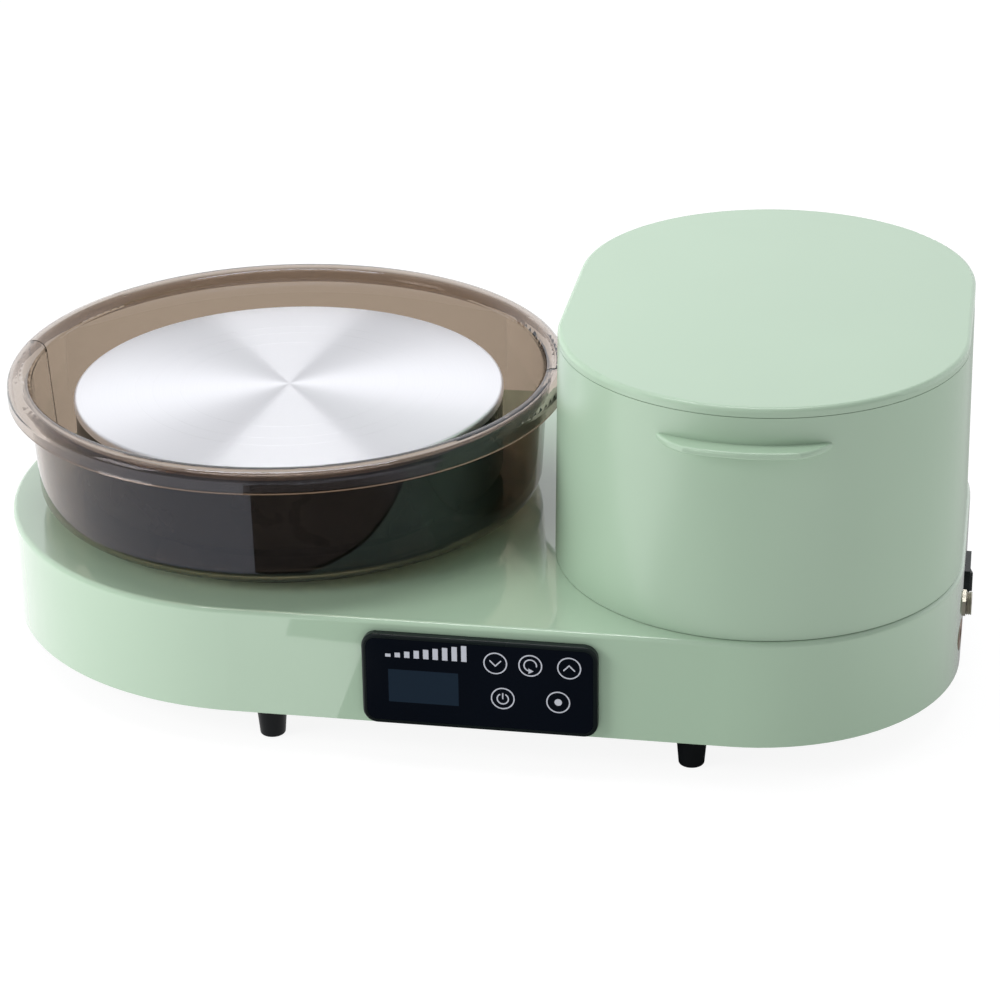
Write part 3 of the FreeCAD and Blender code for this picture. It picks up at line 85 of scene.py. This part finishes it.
class Shader:
    """A material's node tree with short ways to add and join nodes."""

    def __init__(self, name):
        self.material = bpy.data.materials.new(name)
        self.material.use_nodes = True
        self.tree = self.material.node_tree
        self.tree.nodes.clear()
        self.output = self.tree.nodes.new("ShaderNodeOutputMaterial")
        self.surface = self.tree.nodes.new("ShaderNodeBsdfPrincipled")
        self.link(self.surface.outputs["BSDF"], self.output.inputs["Surface"])

    def link(self, source, target):
        self.tree.links.new(source, target)

    def set(self, **values):
        """Set the surface's sockets; an underscore in a name stands for a space."""
        for name, value in values.items():
            self.surface.inputs[name.replace("_", " ")].default_value = value

    def coordinates(self, scale=(1, 1, 1)):
        """Object coordinates, scaled per axis."""
        source = self.tree.nodes.new("ShaderNodeTexCoord")
        mapping = self.tree.nodes.new("ShaderNodeMapping")
        mapping.inputs["Scale"].default_value = scale
        self.link(source.outputs["Object"], mapping.inputs["Vector"])
        return mapping.outputs["Vector"]

    def radius(self):
        """Distance from the wheel's axis in metres."""
        source = self.tree.nodes.new("ShaderNodeTexCoord")
        shift = self.tree.nodes.new("ShaderNodeVectorMath")
        shift.operation = "SUBTRACT"
        shift.inputs[1].default_value = AXIS
        self.link(source.outputs["Object"], shift.inputs[0])
        flat = self.tree.nodes.new("ShaderNodeVectorMath")
        flat.operation = "MULTIPLY"
        flat.inputs[1].default_value = (1, 1, 0)
        self.link(shift.outputs["Vector"], flat.inputs[0])
        length = self.tree.nodes.new("ShaderNodeVectorMath")
        length.operation = "LENGTH"
        self.link(flat.outputs["Vector"], length.inputs[0])
        return length.outputs["Value"]

    def noise(self, scale, detail=3.0, stretch=(1, 1, 1), roughness=0.5):
        """A noise field in object space; scale counts features per metre."""
        node = self.tree.nodes.new("ShaderNodeTexNoise")
        node.inputs["Scale"].default_value = scale
        node.inputs["Detail"].default_value = detail
        node.inputs["Roughness"].default_value = roughness
        self.link(self.coordinates(stretch), node.inputs["Vector"])
        return node.outputs["Fac"]

    def range(self, value, low, high, start=0.3, end=0.7):
        """A field mapped on to low..high."""
        node = self.tree.nodes.new("ShaderNodeMapRange")
        node.inputs["From Min"].default_value = start
        node.inputs["From Max"].default_value = end
        node.inputs["To Min"].default_value = low
        node.inputs["To Max"].default_value = high
        self.link(value, node.inputs["Value"])
        return node.outputs["Result"]

    def tint(self, value, first, second):
        """A field that runs from one colour to another."""
        node = self.tree.nodes.new("ShaderNodeMix")
        node.data_type = "RGBA"
        node.inputs["A"].default_value = (*first, 1)
        node.inputs["B"].default_value = (*second, 1)
        self.link(value, node.inputs["Factor"])
        return node.outputs["Result"]

    def bump(self, value, distance, strength=1.0):
        """Relief from a height field, distance in metres."""
        node = self.tree.nodes.new("ShaderNodeBump")
        node.inputs["Distance"].default_value = distance
        node.inputs["Strength"].default_value = strength
        self.link(value, node.inputs["Height"])
        self.link(node.outputs["Normal"], self.surface.inputs["Normal"])


PLASTIC_IOR = 1.5
COAT_ROUGHNESS = 0.04
DRIFT_SCALE = 9


def moulded(
    name,
    colour,
    roughness,
    grain=0.0,
    grain_scale=900,
    spread=0.04,
    specular=0.5,
    uneven=0.15,
    gloss_scale=60,
    detail=4,
    coat=0.0,
):
    """Moulded plastic: slight colour drift, uneven gloss and a fine skin."""
    shader = Shader(name)
    shader.set(
        IOR=PLASTIC_IOR,
        Specular_IOR_Level=specular,
        Coat_Weight=coat,
        Coat_Roughness=COAT_ROUGHNESS,
    )
    drift = shader.range(shader.noise(DRIFT_SCALE, 2), 0, 1, 0.35, 0.65)
    light = tuple(min(1, c * (1 + spread)) for c in colour)
    dark = tuple(c * (1 - spread) for c in colour)
    shader.link(shader.tint(drift, dark, light), shader.surface.inputs["Base Color"])
    gloss_field = shader.noise(gloss_scale, 2)
    gloss = shader.range(gloss_field, roughness * (1 - uneven), roughness * (1 + uneven))
    shader.link(gloss, shader.surface.inputs["Roughness"])
    if grain:
        shader.bump(shader.noise(grain_scale, detail, roughness=0.6), grain)
    return shader.material


METAL_DRIFT_SCALE = 30


def metal(name, colour, roughness, stretch=(1, 1, 1), grain=0.00002, scale=300):
    """Bare metal with fine machining or casting marks."""
    shader = Shader(name)
    shader.set(Metallic=1.0)
    drift = shader.range(shader.noise(METAL_DRIFT_SCALE, 3), 0, 1)
    dark = tuple(c * 0.9 for c in colour)
    shader.link(shader.tint(drift, dark, colour), shader.surface.inputs["Base Color"])
    marks = shader.noise(scale, 5, stretch, 0.6)
    gloss = shader.range(marks, roughness * 0.75, roughness * 1.3)
    shader.link(gloss, shader.surface.inputs["Roughness"])
    shader.bump(marks, grain)
    return shader.material


LATHE_MARKS_PER_METRE = 1500
QUARTER_TURN = 0.25


def turned_aluminium():
    """Aluminium faced on a lathe: concentric grooves that spread light into a fan."""
    shader = Shader("turned_aluminium")
    shader.set(Metallic=1.0, Anisotropic=1.0, Anisotropic_Rotation=QUARTER_TURN)
    rings = shader.tree.nodes.new("ShaderNodeTexNoise")
    rings.noise_dimensions = "1D"
    rings.inputs["Scale"].default_value = LATHE_MARKS_PER_METRE
    rings.inputs["Detail"].default_value = 6
    rings.inputs["Roughness"].default_value = 0.7
    shader.link(shader.radius(), rings.inputs["W"])
    gloss = shader.range(rings.outputs["Fac"], 0.30, 0.34)
    shader.link(gloss, shader.surface.inputs["Roughness"])
    shade = shader.range(rings.outputs["Fac"], 0, 1)
    tint = shader.tint(shade, (0.90, 0.90, 0.93), (0.94, 0.94, 0.97))
    shader.link(tint, shader.surface.inputs["Base Color"])
    tangent = shader.tree.nodes.new("ShaderNodeTangent")
    tangent.direction_type = "RADIAL"
    tangent.axis = "Z"
    shader.link(tangent.outputs["Tangent"], shader.surface.inputs["Tangent"])
    return shader.material


PAN_WALL = 134
LIP_BLEND = 1.5
SMOKE_WALL = (0.33, 0.26, 0.20)
# Lighter smoke for the rolled lip: a painted sheen standing in for its white reflections.
SMOKE_LIP_PAINTED_SHEEN = (0.50, 0.43, 0.375)
SMOKE_GLINT = (0.78, 0.84, 1.0, 1)


def smoke():
    """Smoke-tinted clear plastic, deep in the wall and floor; the rolled lip gets a lighter tint, a
    painted sheen standing in for the white reflections that brighten it.
    """
    shader = Shader("smoke_plastic")
    shader.set(
        Roughness=0.02,
        IOR=PLASTIC_IOR,
        Transmission_Weight=1.0,
        Specular_Tint=SMOKE_GLINT,
    )
    # Beyond the wall's radius the tint blends to the lighter lip colour, a painted sheen for the
    # lip's white reflections.
    painted_lip_sheen = shader.range(shader.radius(), 0, 1, PAN_WALL * MM, (PAN_WALL + LIP_BLEND) * MM)
    tint = shader.tint(painted_lip_sheen, SMOKE_WALL, SMOKE_LIP_PAINTED_SHEEN)
    shader.link(tint, shader.surface.inputs["Base Color"])
    return shader.material


MINT = (0.40, 0.54, 0.405)
MINT_SKIN = {
    "grain": 0.00001,
    "grain_scale": 11,
    "spread": 0.012,
    "uneven": 0.05,
    "gloss_scale": 8,
    "detail": 0,
}
STEEL_GREY = (0.55, 0.56, 0.58)
MATERIALS = {
    "base_plastic": moulded("mint_gloss", MINT, 0.06, coat=1.0, **MINT_SKIN),
    "box_plastic": moulded("mint_satin", MINT, 0.25, specular=0.8, **MINT_SKIN),
    "smoke_plastic": smoke(),
    "black_plastic": moulded("black_satin", (0.006, 0.010, 0.0105), 0.3, 0, 900, 0.2, specular=0.3),
    "panel_gloss": moulded("panel_film", (0.003, 0.0045, 0.008), 0.2, 0, 900, 0.1, specular=0.1),
    "lens": moulded("display_glass", (0.012, 0.021, 0.034), 0.12, 0, 900, 0.05, specular=0.06),
    "spun_aluminium": turned_aluminium(),
    "cast_alloy": metal("cast_alloy", STEEL_GREY, 0.45, grain=0.00005, scale=700),
    "steel": metal("ground_steel", STEEL_GREY, 0.25, (1, 1, 6)),
    "zinc_steel": metal("zinc_plate", (0.6, 0.61, 0.6), 0.35),
    "plated_brass": metal("nickel_plate", (0.50, 0.47, 0.40), 0.34),
    "bronze_ring": metal("bronze_ring", (0.35, 0.24, 0.17), 0.35),
    "rubber": moulded("rubber", (0.005, 0.006, 0.007), 0.42, 0.00002, 2500, 0.2, specular=0.12),
    "belt_rubber": moulded("belt_rubber", (0.015, 0.015, 0.015), 0.6, 0.00003, 1500, 0.2),
    "board_green": moulded("solder_mask", (0.02, 0.14, 0.05), 0.25, 0.00001, 900, 0.2),
    "components": moulded("component_black", (0.03, 0.03, 0.035), 0.4, 0.00001, 900, 0.2),
    "copper_iron": metal("copper_iron", (0.45, 0.25, 0.14), 0.4, (1, 1, 30)),
}

MARK_INK = moulded("mark_ink", (0.50, 0.52, 0.58), 0.45, 0.000002, 3000, 0.04, specular=0.3)

SLOTS = {item["node"]: item["material_slot"] for item in frame["record"]["subparts"]}
for node_name, item in NODES.items():
    item.data.materials.clear()
    item.data.materials.append(MATERIALS[SLOTS[node_name]])


# ---------------------------------------------------------------- detailed pieces

def add_piece(name, build, material, body, slot, *stands_for, smooth=30):
    """A mesh piece in the row frame that rides on a body and stands for CAD nodes."""
    mesh = bpy.data.meshes.new(name)
    work = bmesh.new()
    build(work)
    bmesh.ops.recalc_face_normals(work, faces=work.faces)
    work.to_mesh(mesh)
    work.free()
    for face in mesh.polygons:
        face.use_smooth = True
    mesh.set_sharp_from_angle(angle=math.radians(smooth))
    mesh.materials.append(material)
    item = bpy.data.objects.new(name, mesh)
    SCENE.collection.objects.link(item)
    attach(item, body)
    if stands_for:
        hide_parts(*stands_for)
    return item


def arc_points(centre, radius, start, end, steps):
    """Points on an arc; angles in degrees, both ends included."""
    points = []
    for step in range(steps + 1):
        angle = math.radians(start + (end - start) * step / steps)
        points.append((centre[0] + radius * math.cos(angle), centre[1] + radius * math.sin(angle)))
    return points


WELD = 0.0005
TINY_EDGE = 0.0002


def turn(work, profile, centre, axis, segments, shape=None):
    """Revolve a closed profile of (radius, height) in mm; shape moves a radius with the angle."""
    rings = []
    for step in range(segments):
        angle = math.tau * step / segments
        ring = []
        for radius, height in profile:
            if shape:
                radius = shape(radius, height, angle)
            if axis == "Z":
                spot = Vector((radius * math.cos(angle), radius * math.sin(angle), height))
            else:
                spot = Vector((height, radius * math.cos(angle), radius * math.sin(angle)))
            ring.append(work.verts.new(centre + spot * MM))
        rings.append(ring)
    count = len(profile)
    for step in range(segments):
        first, second = rings[step], rings[(step + 1) % segments]
        for spot in range(count):
            after = (spot + 1) % count
            work.faces.new((first[spot], second[spot], second[after], first[after]))
    bmesh.ops.remove_doubles(work, verts=work.verts, dist=WELD * MM)
    bmesh.ops.dissolve_degenerate(work, edges=work.edges, dist=TINY_EDGE * MM)


HEAD_RADIUS = (HEAD_HIGH.x - HEAD_LOW.x) / 2 / MM
HEAD_THICK = (HEAD_HIGH.z - HEAD_LOW.z) / MM
HEAD_GROOVES = (56, 70, 79)
GROOVE_WIDTH = 0.5
GROOVE_DEPTH = 0.06
RIM_RADIUS = 1.9
HEAD_CHAMFER = 0.4


def wheel_face(work):
    """The wheel head: a turned disc with centring grooves and a rounded rim."""
    top = []
    for radius in HEAD_GROOVES:
        top += [
            (radius - GROOVE_WIDTH / 2, 0),
            (radius - GROOVE_WIDTH / 4, -GROOVE_DEPTH * 0.8),
            (radius, -GROOVE_DEPTH),
            (radius + GROOVE_WIDTH / 4, -GROOVE_DEPTH * 0.8),
            (radius + GROOVE_WIDTH / 2, 0),
        ]
    rim = arc_points((HEAD_RADIUS - RIM_RADIUS, -RIM_RADIUS), RIM_RADIUS, 90, 0, 12)
    profile = [(0, 0), (12, 0), (34, 0)] + top + [(95, 0)] + rim
    profile += [
        (HEAD_RADIUS, -HEAD_THICK + HEAD_CHAMFER),
        (HEAD_RADIUS - HEAD_CHAMFER, -HEAD_THICK),
        (0, -HEAD_THICK),
    ]
    turn(work, profile, HEAD_TOP, "Z", 360)


SOCKET_LOW, SOCKET_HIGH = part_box("pedal_socket")
SOCKET_MIDDLE = box_centre("pedal_socket")
SOCKET_FACE = Vector((BASE_HIGH.x, SOCKET_MIDDLE.y, SOCKET_MIDDLE.z))
THREAD_PITCH = 1.0
THREAD_DEPTH = 0.55
THREAD_START = 0.2
THREAD_STEPS = 44
THREAD_RADIUS = 6.0
SOCKET_BORE = 4.9
SOCKET_TAIL = 5.5
SOCKET_BODY = 5.6
FLANGE_RADIUS = 8
FLANGE_BACK, FLANGE_FRONT = -5.3, -3.1


def pedal_thread(work):
    """The foot pedal's socket: a flanged sleeve with a screw thread outside the shell."""
    end = (SOCKET_HIGH.x - SOCKET_FACE.x) / MM
    back = (SOCKET_LOW.x - SOCKET_FACE.x) / MM
    run = end - 0.35 - THREAD_START
    rows = []
    for step in range(THREAD_STEPS + 1):
        rows.append((THREAD_RADIUS, THREAD_START + run * step / THREAD_STEPS))
    profile = [
        (SOCKET_BORE, back),
        (SOCKET_TAIL, back),
        (SOCKET_TAIL, FLANGE_BACK),
        (FLANGE_RADIUS, FLANGE_BACK),
        (FLANGE_RADIUS, FLANGE_FRONT),
        (SOCKET_BODY, FLANGE_FRONT),
        (SOCKET_BODY, THREAD_START),
    ]
    profile += rows
    profile += [
        (THREAD_RADIUS - 0.35, end),
        (SOCKET_BORE + 0.15, end),
        (SOCKET_BORE, end - 0.15),
    ]

    def thread(radius, height, angle):
        """Cut a helical groove in the sleeve's outer face, fading out at both ends."""
        if radius < THREAD_RADIUS - 0.01 or height < THREAD_START:
            return radius
        phase = (height / THREAD_PITCH - angle / math.tau) % 1
        fade = min(1, (height - THREAD_START) / 0.3, (end - 0.3 - height) / 0.3 + 0.15)
        return radius - THREAD_DEPTH * abs(2 * phase - 1) * max(0, fade)

    turn(work, profile, SOCKET_FACE, "X", 96, thread)


OVERLAY_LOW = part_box("panel_overlay")[0]
ICON_RISE = 0.12
ICON_SINK = 0.05


def slab(work, outline, holes=()):
    """A thin raised shape on the panel's face; outline and holes are (x, z) in mm."""
    front = OVERLAY_LOW.y - ICON_RISE * MM
    back = OVERLAY_LOW.y + ICON_SINK * MM
    loops = []
    for points in [outline, *holes]:
        sides = []
        for y in (front, back):
            spots = [(AXIS.x + x * MM, y, BASE_TOP + z * MM) for x, z in points]
            sides.append([work.verts.new(spot) for spot in spots])
        loops.append(sides)
        count = len(points)
        for spot in range(count):
            after = (spot + 1) % count
            work.faces.new((sides[0][spot], sides[0][after], sides[1][after], sides[1][spot]))
    for side in (0, 1):
        edges = []
        for sides in loops:
            ring = sides[side]
            for spot in range(len(ring)):
                edges.append(work.edges.get((ring[spot], ring[(spot + 1) % len(ring)])))
        bmesh.ops.triangle_fill(work, use_beauty=True, edges=edges)


def stroke(points, width, cap=6):
    """Outline of a line of even width through points, with round ends and mitred bends."""
    half = width / 2

    def way(first, second):
        """Unit direction from one point to the next."""
        dx, dz = second[0] - first[0], second[1] - first[1]
        length = math.hypot(dx, dz)
        return dx / length, dz / length

    left, right = [], []
    for spot, point in enumerate(points):
        before = way(points[spot - 1], point) if spot else None
        after = way(point, points[spot + 1]) if spot < len(points) - 1 else None
        first, second = before or after, after or before
        nx, nz = -(first[1] + second[1]), first[0] + second[0]
        length = math.hypot(nx, nz)
        nx, nz = nx / length, nz / length
        reach = half / max(0.3, nx * -first[1] + nz * first[0])
        left.append((point[0] + nx * reach, point[1] + nz * reach))
        right.append((point[0] - nx * reach, point[1] - nz * reach))

    def end_cap(centre, start):
        """Points of a round end, without the two that the sides already have."""
        return arc_points(centre, half, start, start - 180, cap)[1:-1]

    last = way(points[-2], points[-1])
    first = way(points[1], points[0])
    tail = end_cap(points[-1], math.degrees(math.atan2(last[0], -last[1])))
    head = end_cap(points[0], math.degrees(math.atan2(first[0], -first[1])))
    return left + tail + right[::-1] + head


KEY_RADIUS = 5.75
KEY_LINE = 0.62
SIGN_LINE = 0.62
KEYS = {
    "down": (132.0, -16.8),
    "turn": (148.8, -16.8),
    "up": (167.4, -16.8),
    "power": (135.4, -35.4),
    "dot": (162.1, -35.4),
}
SPEED_BARS = 9
BAR_FOOT = -17.1
BAR_START = 80.1
BAR_PITCH = 4.6
BAR_HALF = 1.3
BAR_FIRST = 1.6
BAR_GROWTH = 0.85


def panel_marks(work):
    """Printed key rings and plain signs, with rising bars for speed."""
    for centre in KEYS.values():
        ring = arc_points(centre, KEY_RADIUS, 0, 360, 72)[:-1]
        hole = arc_points(centre, KEY_RADIUS - KEY_LINE, 0, 360, 72)[:-1]
        slab(work, ring, [hole])

    for name, rise in (("down", -1), ("up", 1)):
        x, z = KEYS[name]
        points = [(x - 2.6, z - 1.3 * rise), (x, z + 1.4 * rise), (x + 2.6, z - 1.3 * rise)]
        slab(work, stroke(points, SIGN_LINE))

    x, z = KEYS["turn"]
    slab(work, stroke(arc_points((x, z + 0.1), 3.0, -8, 252, 30), SIGN_LINE))
    slab(work, [(x - 0.9, z - 1.5), (x - 0.9, z - 4.3), (x + 1.6, z - 2.9)])

    x, z = KEYS["power"]
    slab(work, stroke(arc_points((x, z - 0.2), 2.7, 122, 418, 32), SIGN_LINE))
    slab(work, stroke([(x, z + 2.6), (x, z - 0.1)], SIGN_LINE))

    x, z = KEYS["dot"]
    slab(work, arc_points((x, z), 1.8, 0, 360, 40)[:-1])

    for bar in range(SPEED_BARS):
        low, high = BAR_FOOT, BAR_FOOT + BAR_FIRST + bar * BAR_GROWTH
        middle = BAR_START + bar * BAR_PITCH
        left, right = middle - BAR_HALF, middle + BAR_HALF
        slab(work, [(left, low), (right, low), (right, high), (left, high)])


HEAD_TOP = Vector((AXIS.x, AXIS.y, HEAD_HIGH.z))
ALUMINIUM = MATERIALS["spun_aluminium"]
NICKEL = MATERIALS["plated_brass"]
add_piece("wheel_face", wheel_face, ALUMINIUM, "wheel", "spun_aluminium", "wheel_head", smooth=9)
add_piece("pedal_thread", pedal_thread, NICKEL, "base", "plated_brass", "pedal_socket")
add_piece("panel_marks", panel_marks, MARK_INK, "base", "panel_gloss")


# ---------------------------------------------------------------- camera, light and floor

def look(location, target, roll=0.0):
    """Rotation that looks from one point at another, then rolls about the view."""
    facing = (target - location).to_track_quat("-Z", "Y")
    return facing @ Matrix.Rotation(roll, 4, "Z").to_quaternion()


CAMERA_AZIMUTH = math.radians(10.01)
CAMERA_ELEVATION = math.radians(24.83)
CAMERA_ROLL = math.radians(-0.77)
CAMERA_DISTANCE = 1597.4 * MM
TARGET_RIGHT = 109.53
TARGET_FRONT = 2.78
CAMERA_TARGET = Vector((AXIS.x + TARGET_RIGHT * MM, AXIS.y - TARGET_FRONT * MM, BASE_TOP))
CAMERA_LENS = 111.73
SENSOR_WIDTH = 36
VIEW_REACH = 50
camera_data = bpy.data.cameras.new("camera")
camera_data.lens = CAMERA_LENS
camera_data.sensor_width = SENSOR_WIDTH
camera_data.clip_end = VIEW_REACH
camera = bpy.data.objects.new("camera", camera_data)
SCENE.collection.objects.link(camera)
camera_back = Vector(
    (
        math.sin(CAMERA_AZIMUTH) * math.cos(CAMERA_ELEVATION),
        -math.cos(CAMERA_AZIMUTH) * math.cos(CAMERA_ELEVATION),
        math.sin(CAMERA_ELEVATION),
    )
)
camera.location = CAMERA_TARGET + camera_back * CAMERA_DISTANCE
camera.rotation_mode = "QUATERNION"
camera.rotation_quaternion = look(camera.location, CAMERA_TARGET, CAMERA_ROLL)
SCENE.camera = camera


STRIP_LIGHT = 8.5
OVERHEAD_LIGHT = 2.2
LEFT_LIGHT = 9.2
HIGH_LIGHT = 1.6
FRONT_SKY = 0.30
SKY_LIGHT = 0.70
BACK_LIGHT = 1.16
SKY_COLOUR = (0.97, 0.98, 1.0, 1)
STRIP_RISE = 1.5
OVERHEAD_RISE = 1.6
STRIP_SIZE = (1.17, 0.22)


def softbox(name, location, target, width, height, radiance):
    """A rectangular softbox of a given brightness, level at its top edge."""
    data = bpy.data.lights.new(name, "AREA")
    data.shape = "RECTANGLE"
    data.size = width
    data.size_y = height
    data.energy = radiance * math.pi * width * height
    lamp = bpy.data.objects.new(name, data)
    SCENE.collection.objects.link(lamp)
    lamp.location = location
    lamp.rotation_mode = "QUATERNION"
    lamp.rotation_quaternion = look(Vector(location), Vector(target))
    return lamp


# The strip over the wheel makes the fan on its turned face, so it lies square to the view.
above = HEAD_TOP + Vector((0, 0, STRIP_RISE))
strip = softbox("strip", above, HEAD_TOP, *STRIP_SIZE, STRIP_LIGHT)
strip.rotation_mode = "XYZ"
strip.rotation_euler = (0, 0, CAMERA_AZIMUTH)

# Three fills shape the shell, the lid and the tops, and leave no mark in the gloss.
left = softbox("left", (-0.95, -0.62, 0.5), (-0.15, -0.1, 0.05), 0.45, 0.6, LEFT_LIGHT)
high = softbox("high", (-0.2, 0.05, 0.65), (0.1, 0, 0.19), 0.4, 0.4, HIGH_LIGHT)
above = HEAD_TOP + Vector((0, 0, OVERHEAD_RISE))
overhead = softbox("overhead", above, HEAD_TOP, *STRIP_SIZE, OVERHEAD_LIGHT)
for fill in (left, high, overhead):
    fill.visible_glossy = False


BAND_FADE = (0.25, 0.85)
BAND_BEHIND = (-0.1, 0.5)
SKY_FRONT_TO_BACK = (-0.4, 0.3)


def studio():
    """A pale cove: bright near the horizon behind the object, greyer above and in front."""
    world = bpy.data.worlds.new("studio")
    SCENE.world = world
    world.use_nodes = True
    tree = world.node_tree
    background = tree.nodes["Background"]
    source = tree.nodes.new("ShaderNodeTexCoord")
    parts = tree.nodes.new("ShaderNodeSeparateXYZ")
    tree.links.new(source.outputs["Generated"], parts.inputs["Vector"])

    def ramp(value, span, low, high):
        """A field eased from low to high over a span of its values."""
        node = tree.nodes.new("ShaderNodeMapRange")
        node.interpolation_type = "SMOOTHSTEP"
        node.inputs["From Min"].default_value = span[0]
        node.inputs["From Max"].default_value = span[1]
        node.inputs["To Min"].default_value = low
        node.inputs["To Max"].default_value = high
        tree.links.new(value, node.inputs["Value"])
        return node.outputs["Result"]

    def combine(operation, first, second):
        """Two fields joined by a sum or a product."""
        node = tree.nodes.new("ShaderNodeMath")
        node.operation = operation
        tree.links.new(first, node.inputs[0])
        tree.links.new(second, node.inputs[1])
        return node.outputs["Value"]

    height = ramp(parts.outputs["Z"], BAND_FADE, 1, 0)
    behind = ramp(parts.outputs["Y"], BAND_BEHIND, 0, 1)
    band = ramp(combine("MULTIPLY", height, behind), (0, 1), 0, BACK_LIGHT - SKY_LIGHT)
    sky = ramp(parts.outputs["Y"], SKY_FRONT_TO_BACK, FRONT_SKY, SKY_LIGHT)
    tree.links.new(combine("ADD", band, sky), background.inputs["Strength"])
    background.inputs["Color"].default_value = SKY_COLOUR


studio()
SCENE.view_settings.view_transform = "Standard"


def lay(name, outline, height, paint):
    """A flat stage item on the ground; outline is (x, y) in metres."""
    mesh = bpy.data.meshes.new(name)
    mesh.from_pydata([(x, y, height) for x, y in outline], [], [tuple(range(len(outline)))])
    mesh.materials.append(paint)
    item = bpy.data.objects.new(name, mesh)
    SCENE.collection.objects.link(item)
    return item


WHITE = (1, 1, 1, 1)
FLOOR_REACH = 6
FLOOR_GREY = (0.16, 0.16, 0.16)
FLOOR_GLOW = 0.9
floor_paint = moulded("floor_white", FLOOR_GREY, 0.7, 0, 900, 0.005)
floor_surface = floor_paint.node_tree.nodes["Principled BSDF"]
floor_surface.inputs["Emission Color"].default_value = WHITE
floor_surface.inputs["Emission Strength"].default_value = FLOOR_GLOW
floor_outline = [
    (-FLOOR_REACH, -FLOOR_REACH),
    (FLOOR_REACH, -FLOOR_REACH),
    (FLOOR_REACH, FLOOR_REACH),
    (-FLOOR_REACH, FLOOR_REACH),
]
floor = lay("floor", floor_outline, 0, floor_paint)

# A card in front of the object, black and then grey to the right, keeps the dark gloss parts
# dark. Only reflections see it.
CARD_HEIGHT = 0.0005
CARD_EDGE = -0.058
CARD_BLACK = (0.01, 0.01, 0.01, 1)
CARD_GREY = 0.65
CARD_FADE = (0.12, 0.36)
CARD_OUTLINE = [
    (CARD_EDGE, -0.16),
    (CARD_EDGE - 0.003, -0.254),
    (CARD_EDGE - 0.046, -0.258),
    (CARD_EDGE - 0.056, -0.36),
    (CARD_EDGE - 0.204, -1.5),
    (2.5, -1.5),
    (2.5, 0.5),
    (0.2, 0.5),
    (0.2, -0.1),
    (CARD_EDGE + 0.05, -0.1),
]


def card_finish():
    """Matt black with a glow that rises to grey along X."""
    shader = Shader("card_black")
    shader.set(
        Base_Color=CARD_BLACK,
        Roughness=0.9,
        Specular_IOR_Level=0,
        Emission_Color=WHITE,
    )
    across = shader.tree.nodes.new("ShaderNodeSeparateXYZ")
    shader.link(shader.coordinates(), across.inputs["Vector"])
    glow = shader.range(across.outputs["X"], 0, CARD_GREY, *CARD_FADE)
    shader.link(glow, shader.surface.inputs["Emission Strength"])
    return shader.material


card = lay("card", CARD_OUTLINE, CARD_HEIGHT, card_finish())
card.visible_camera = False
card.visible_diffuse = False
card.visible_shadow = False
card.visible_transmission = False
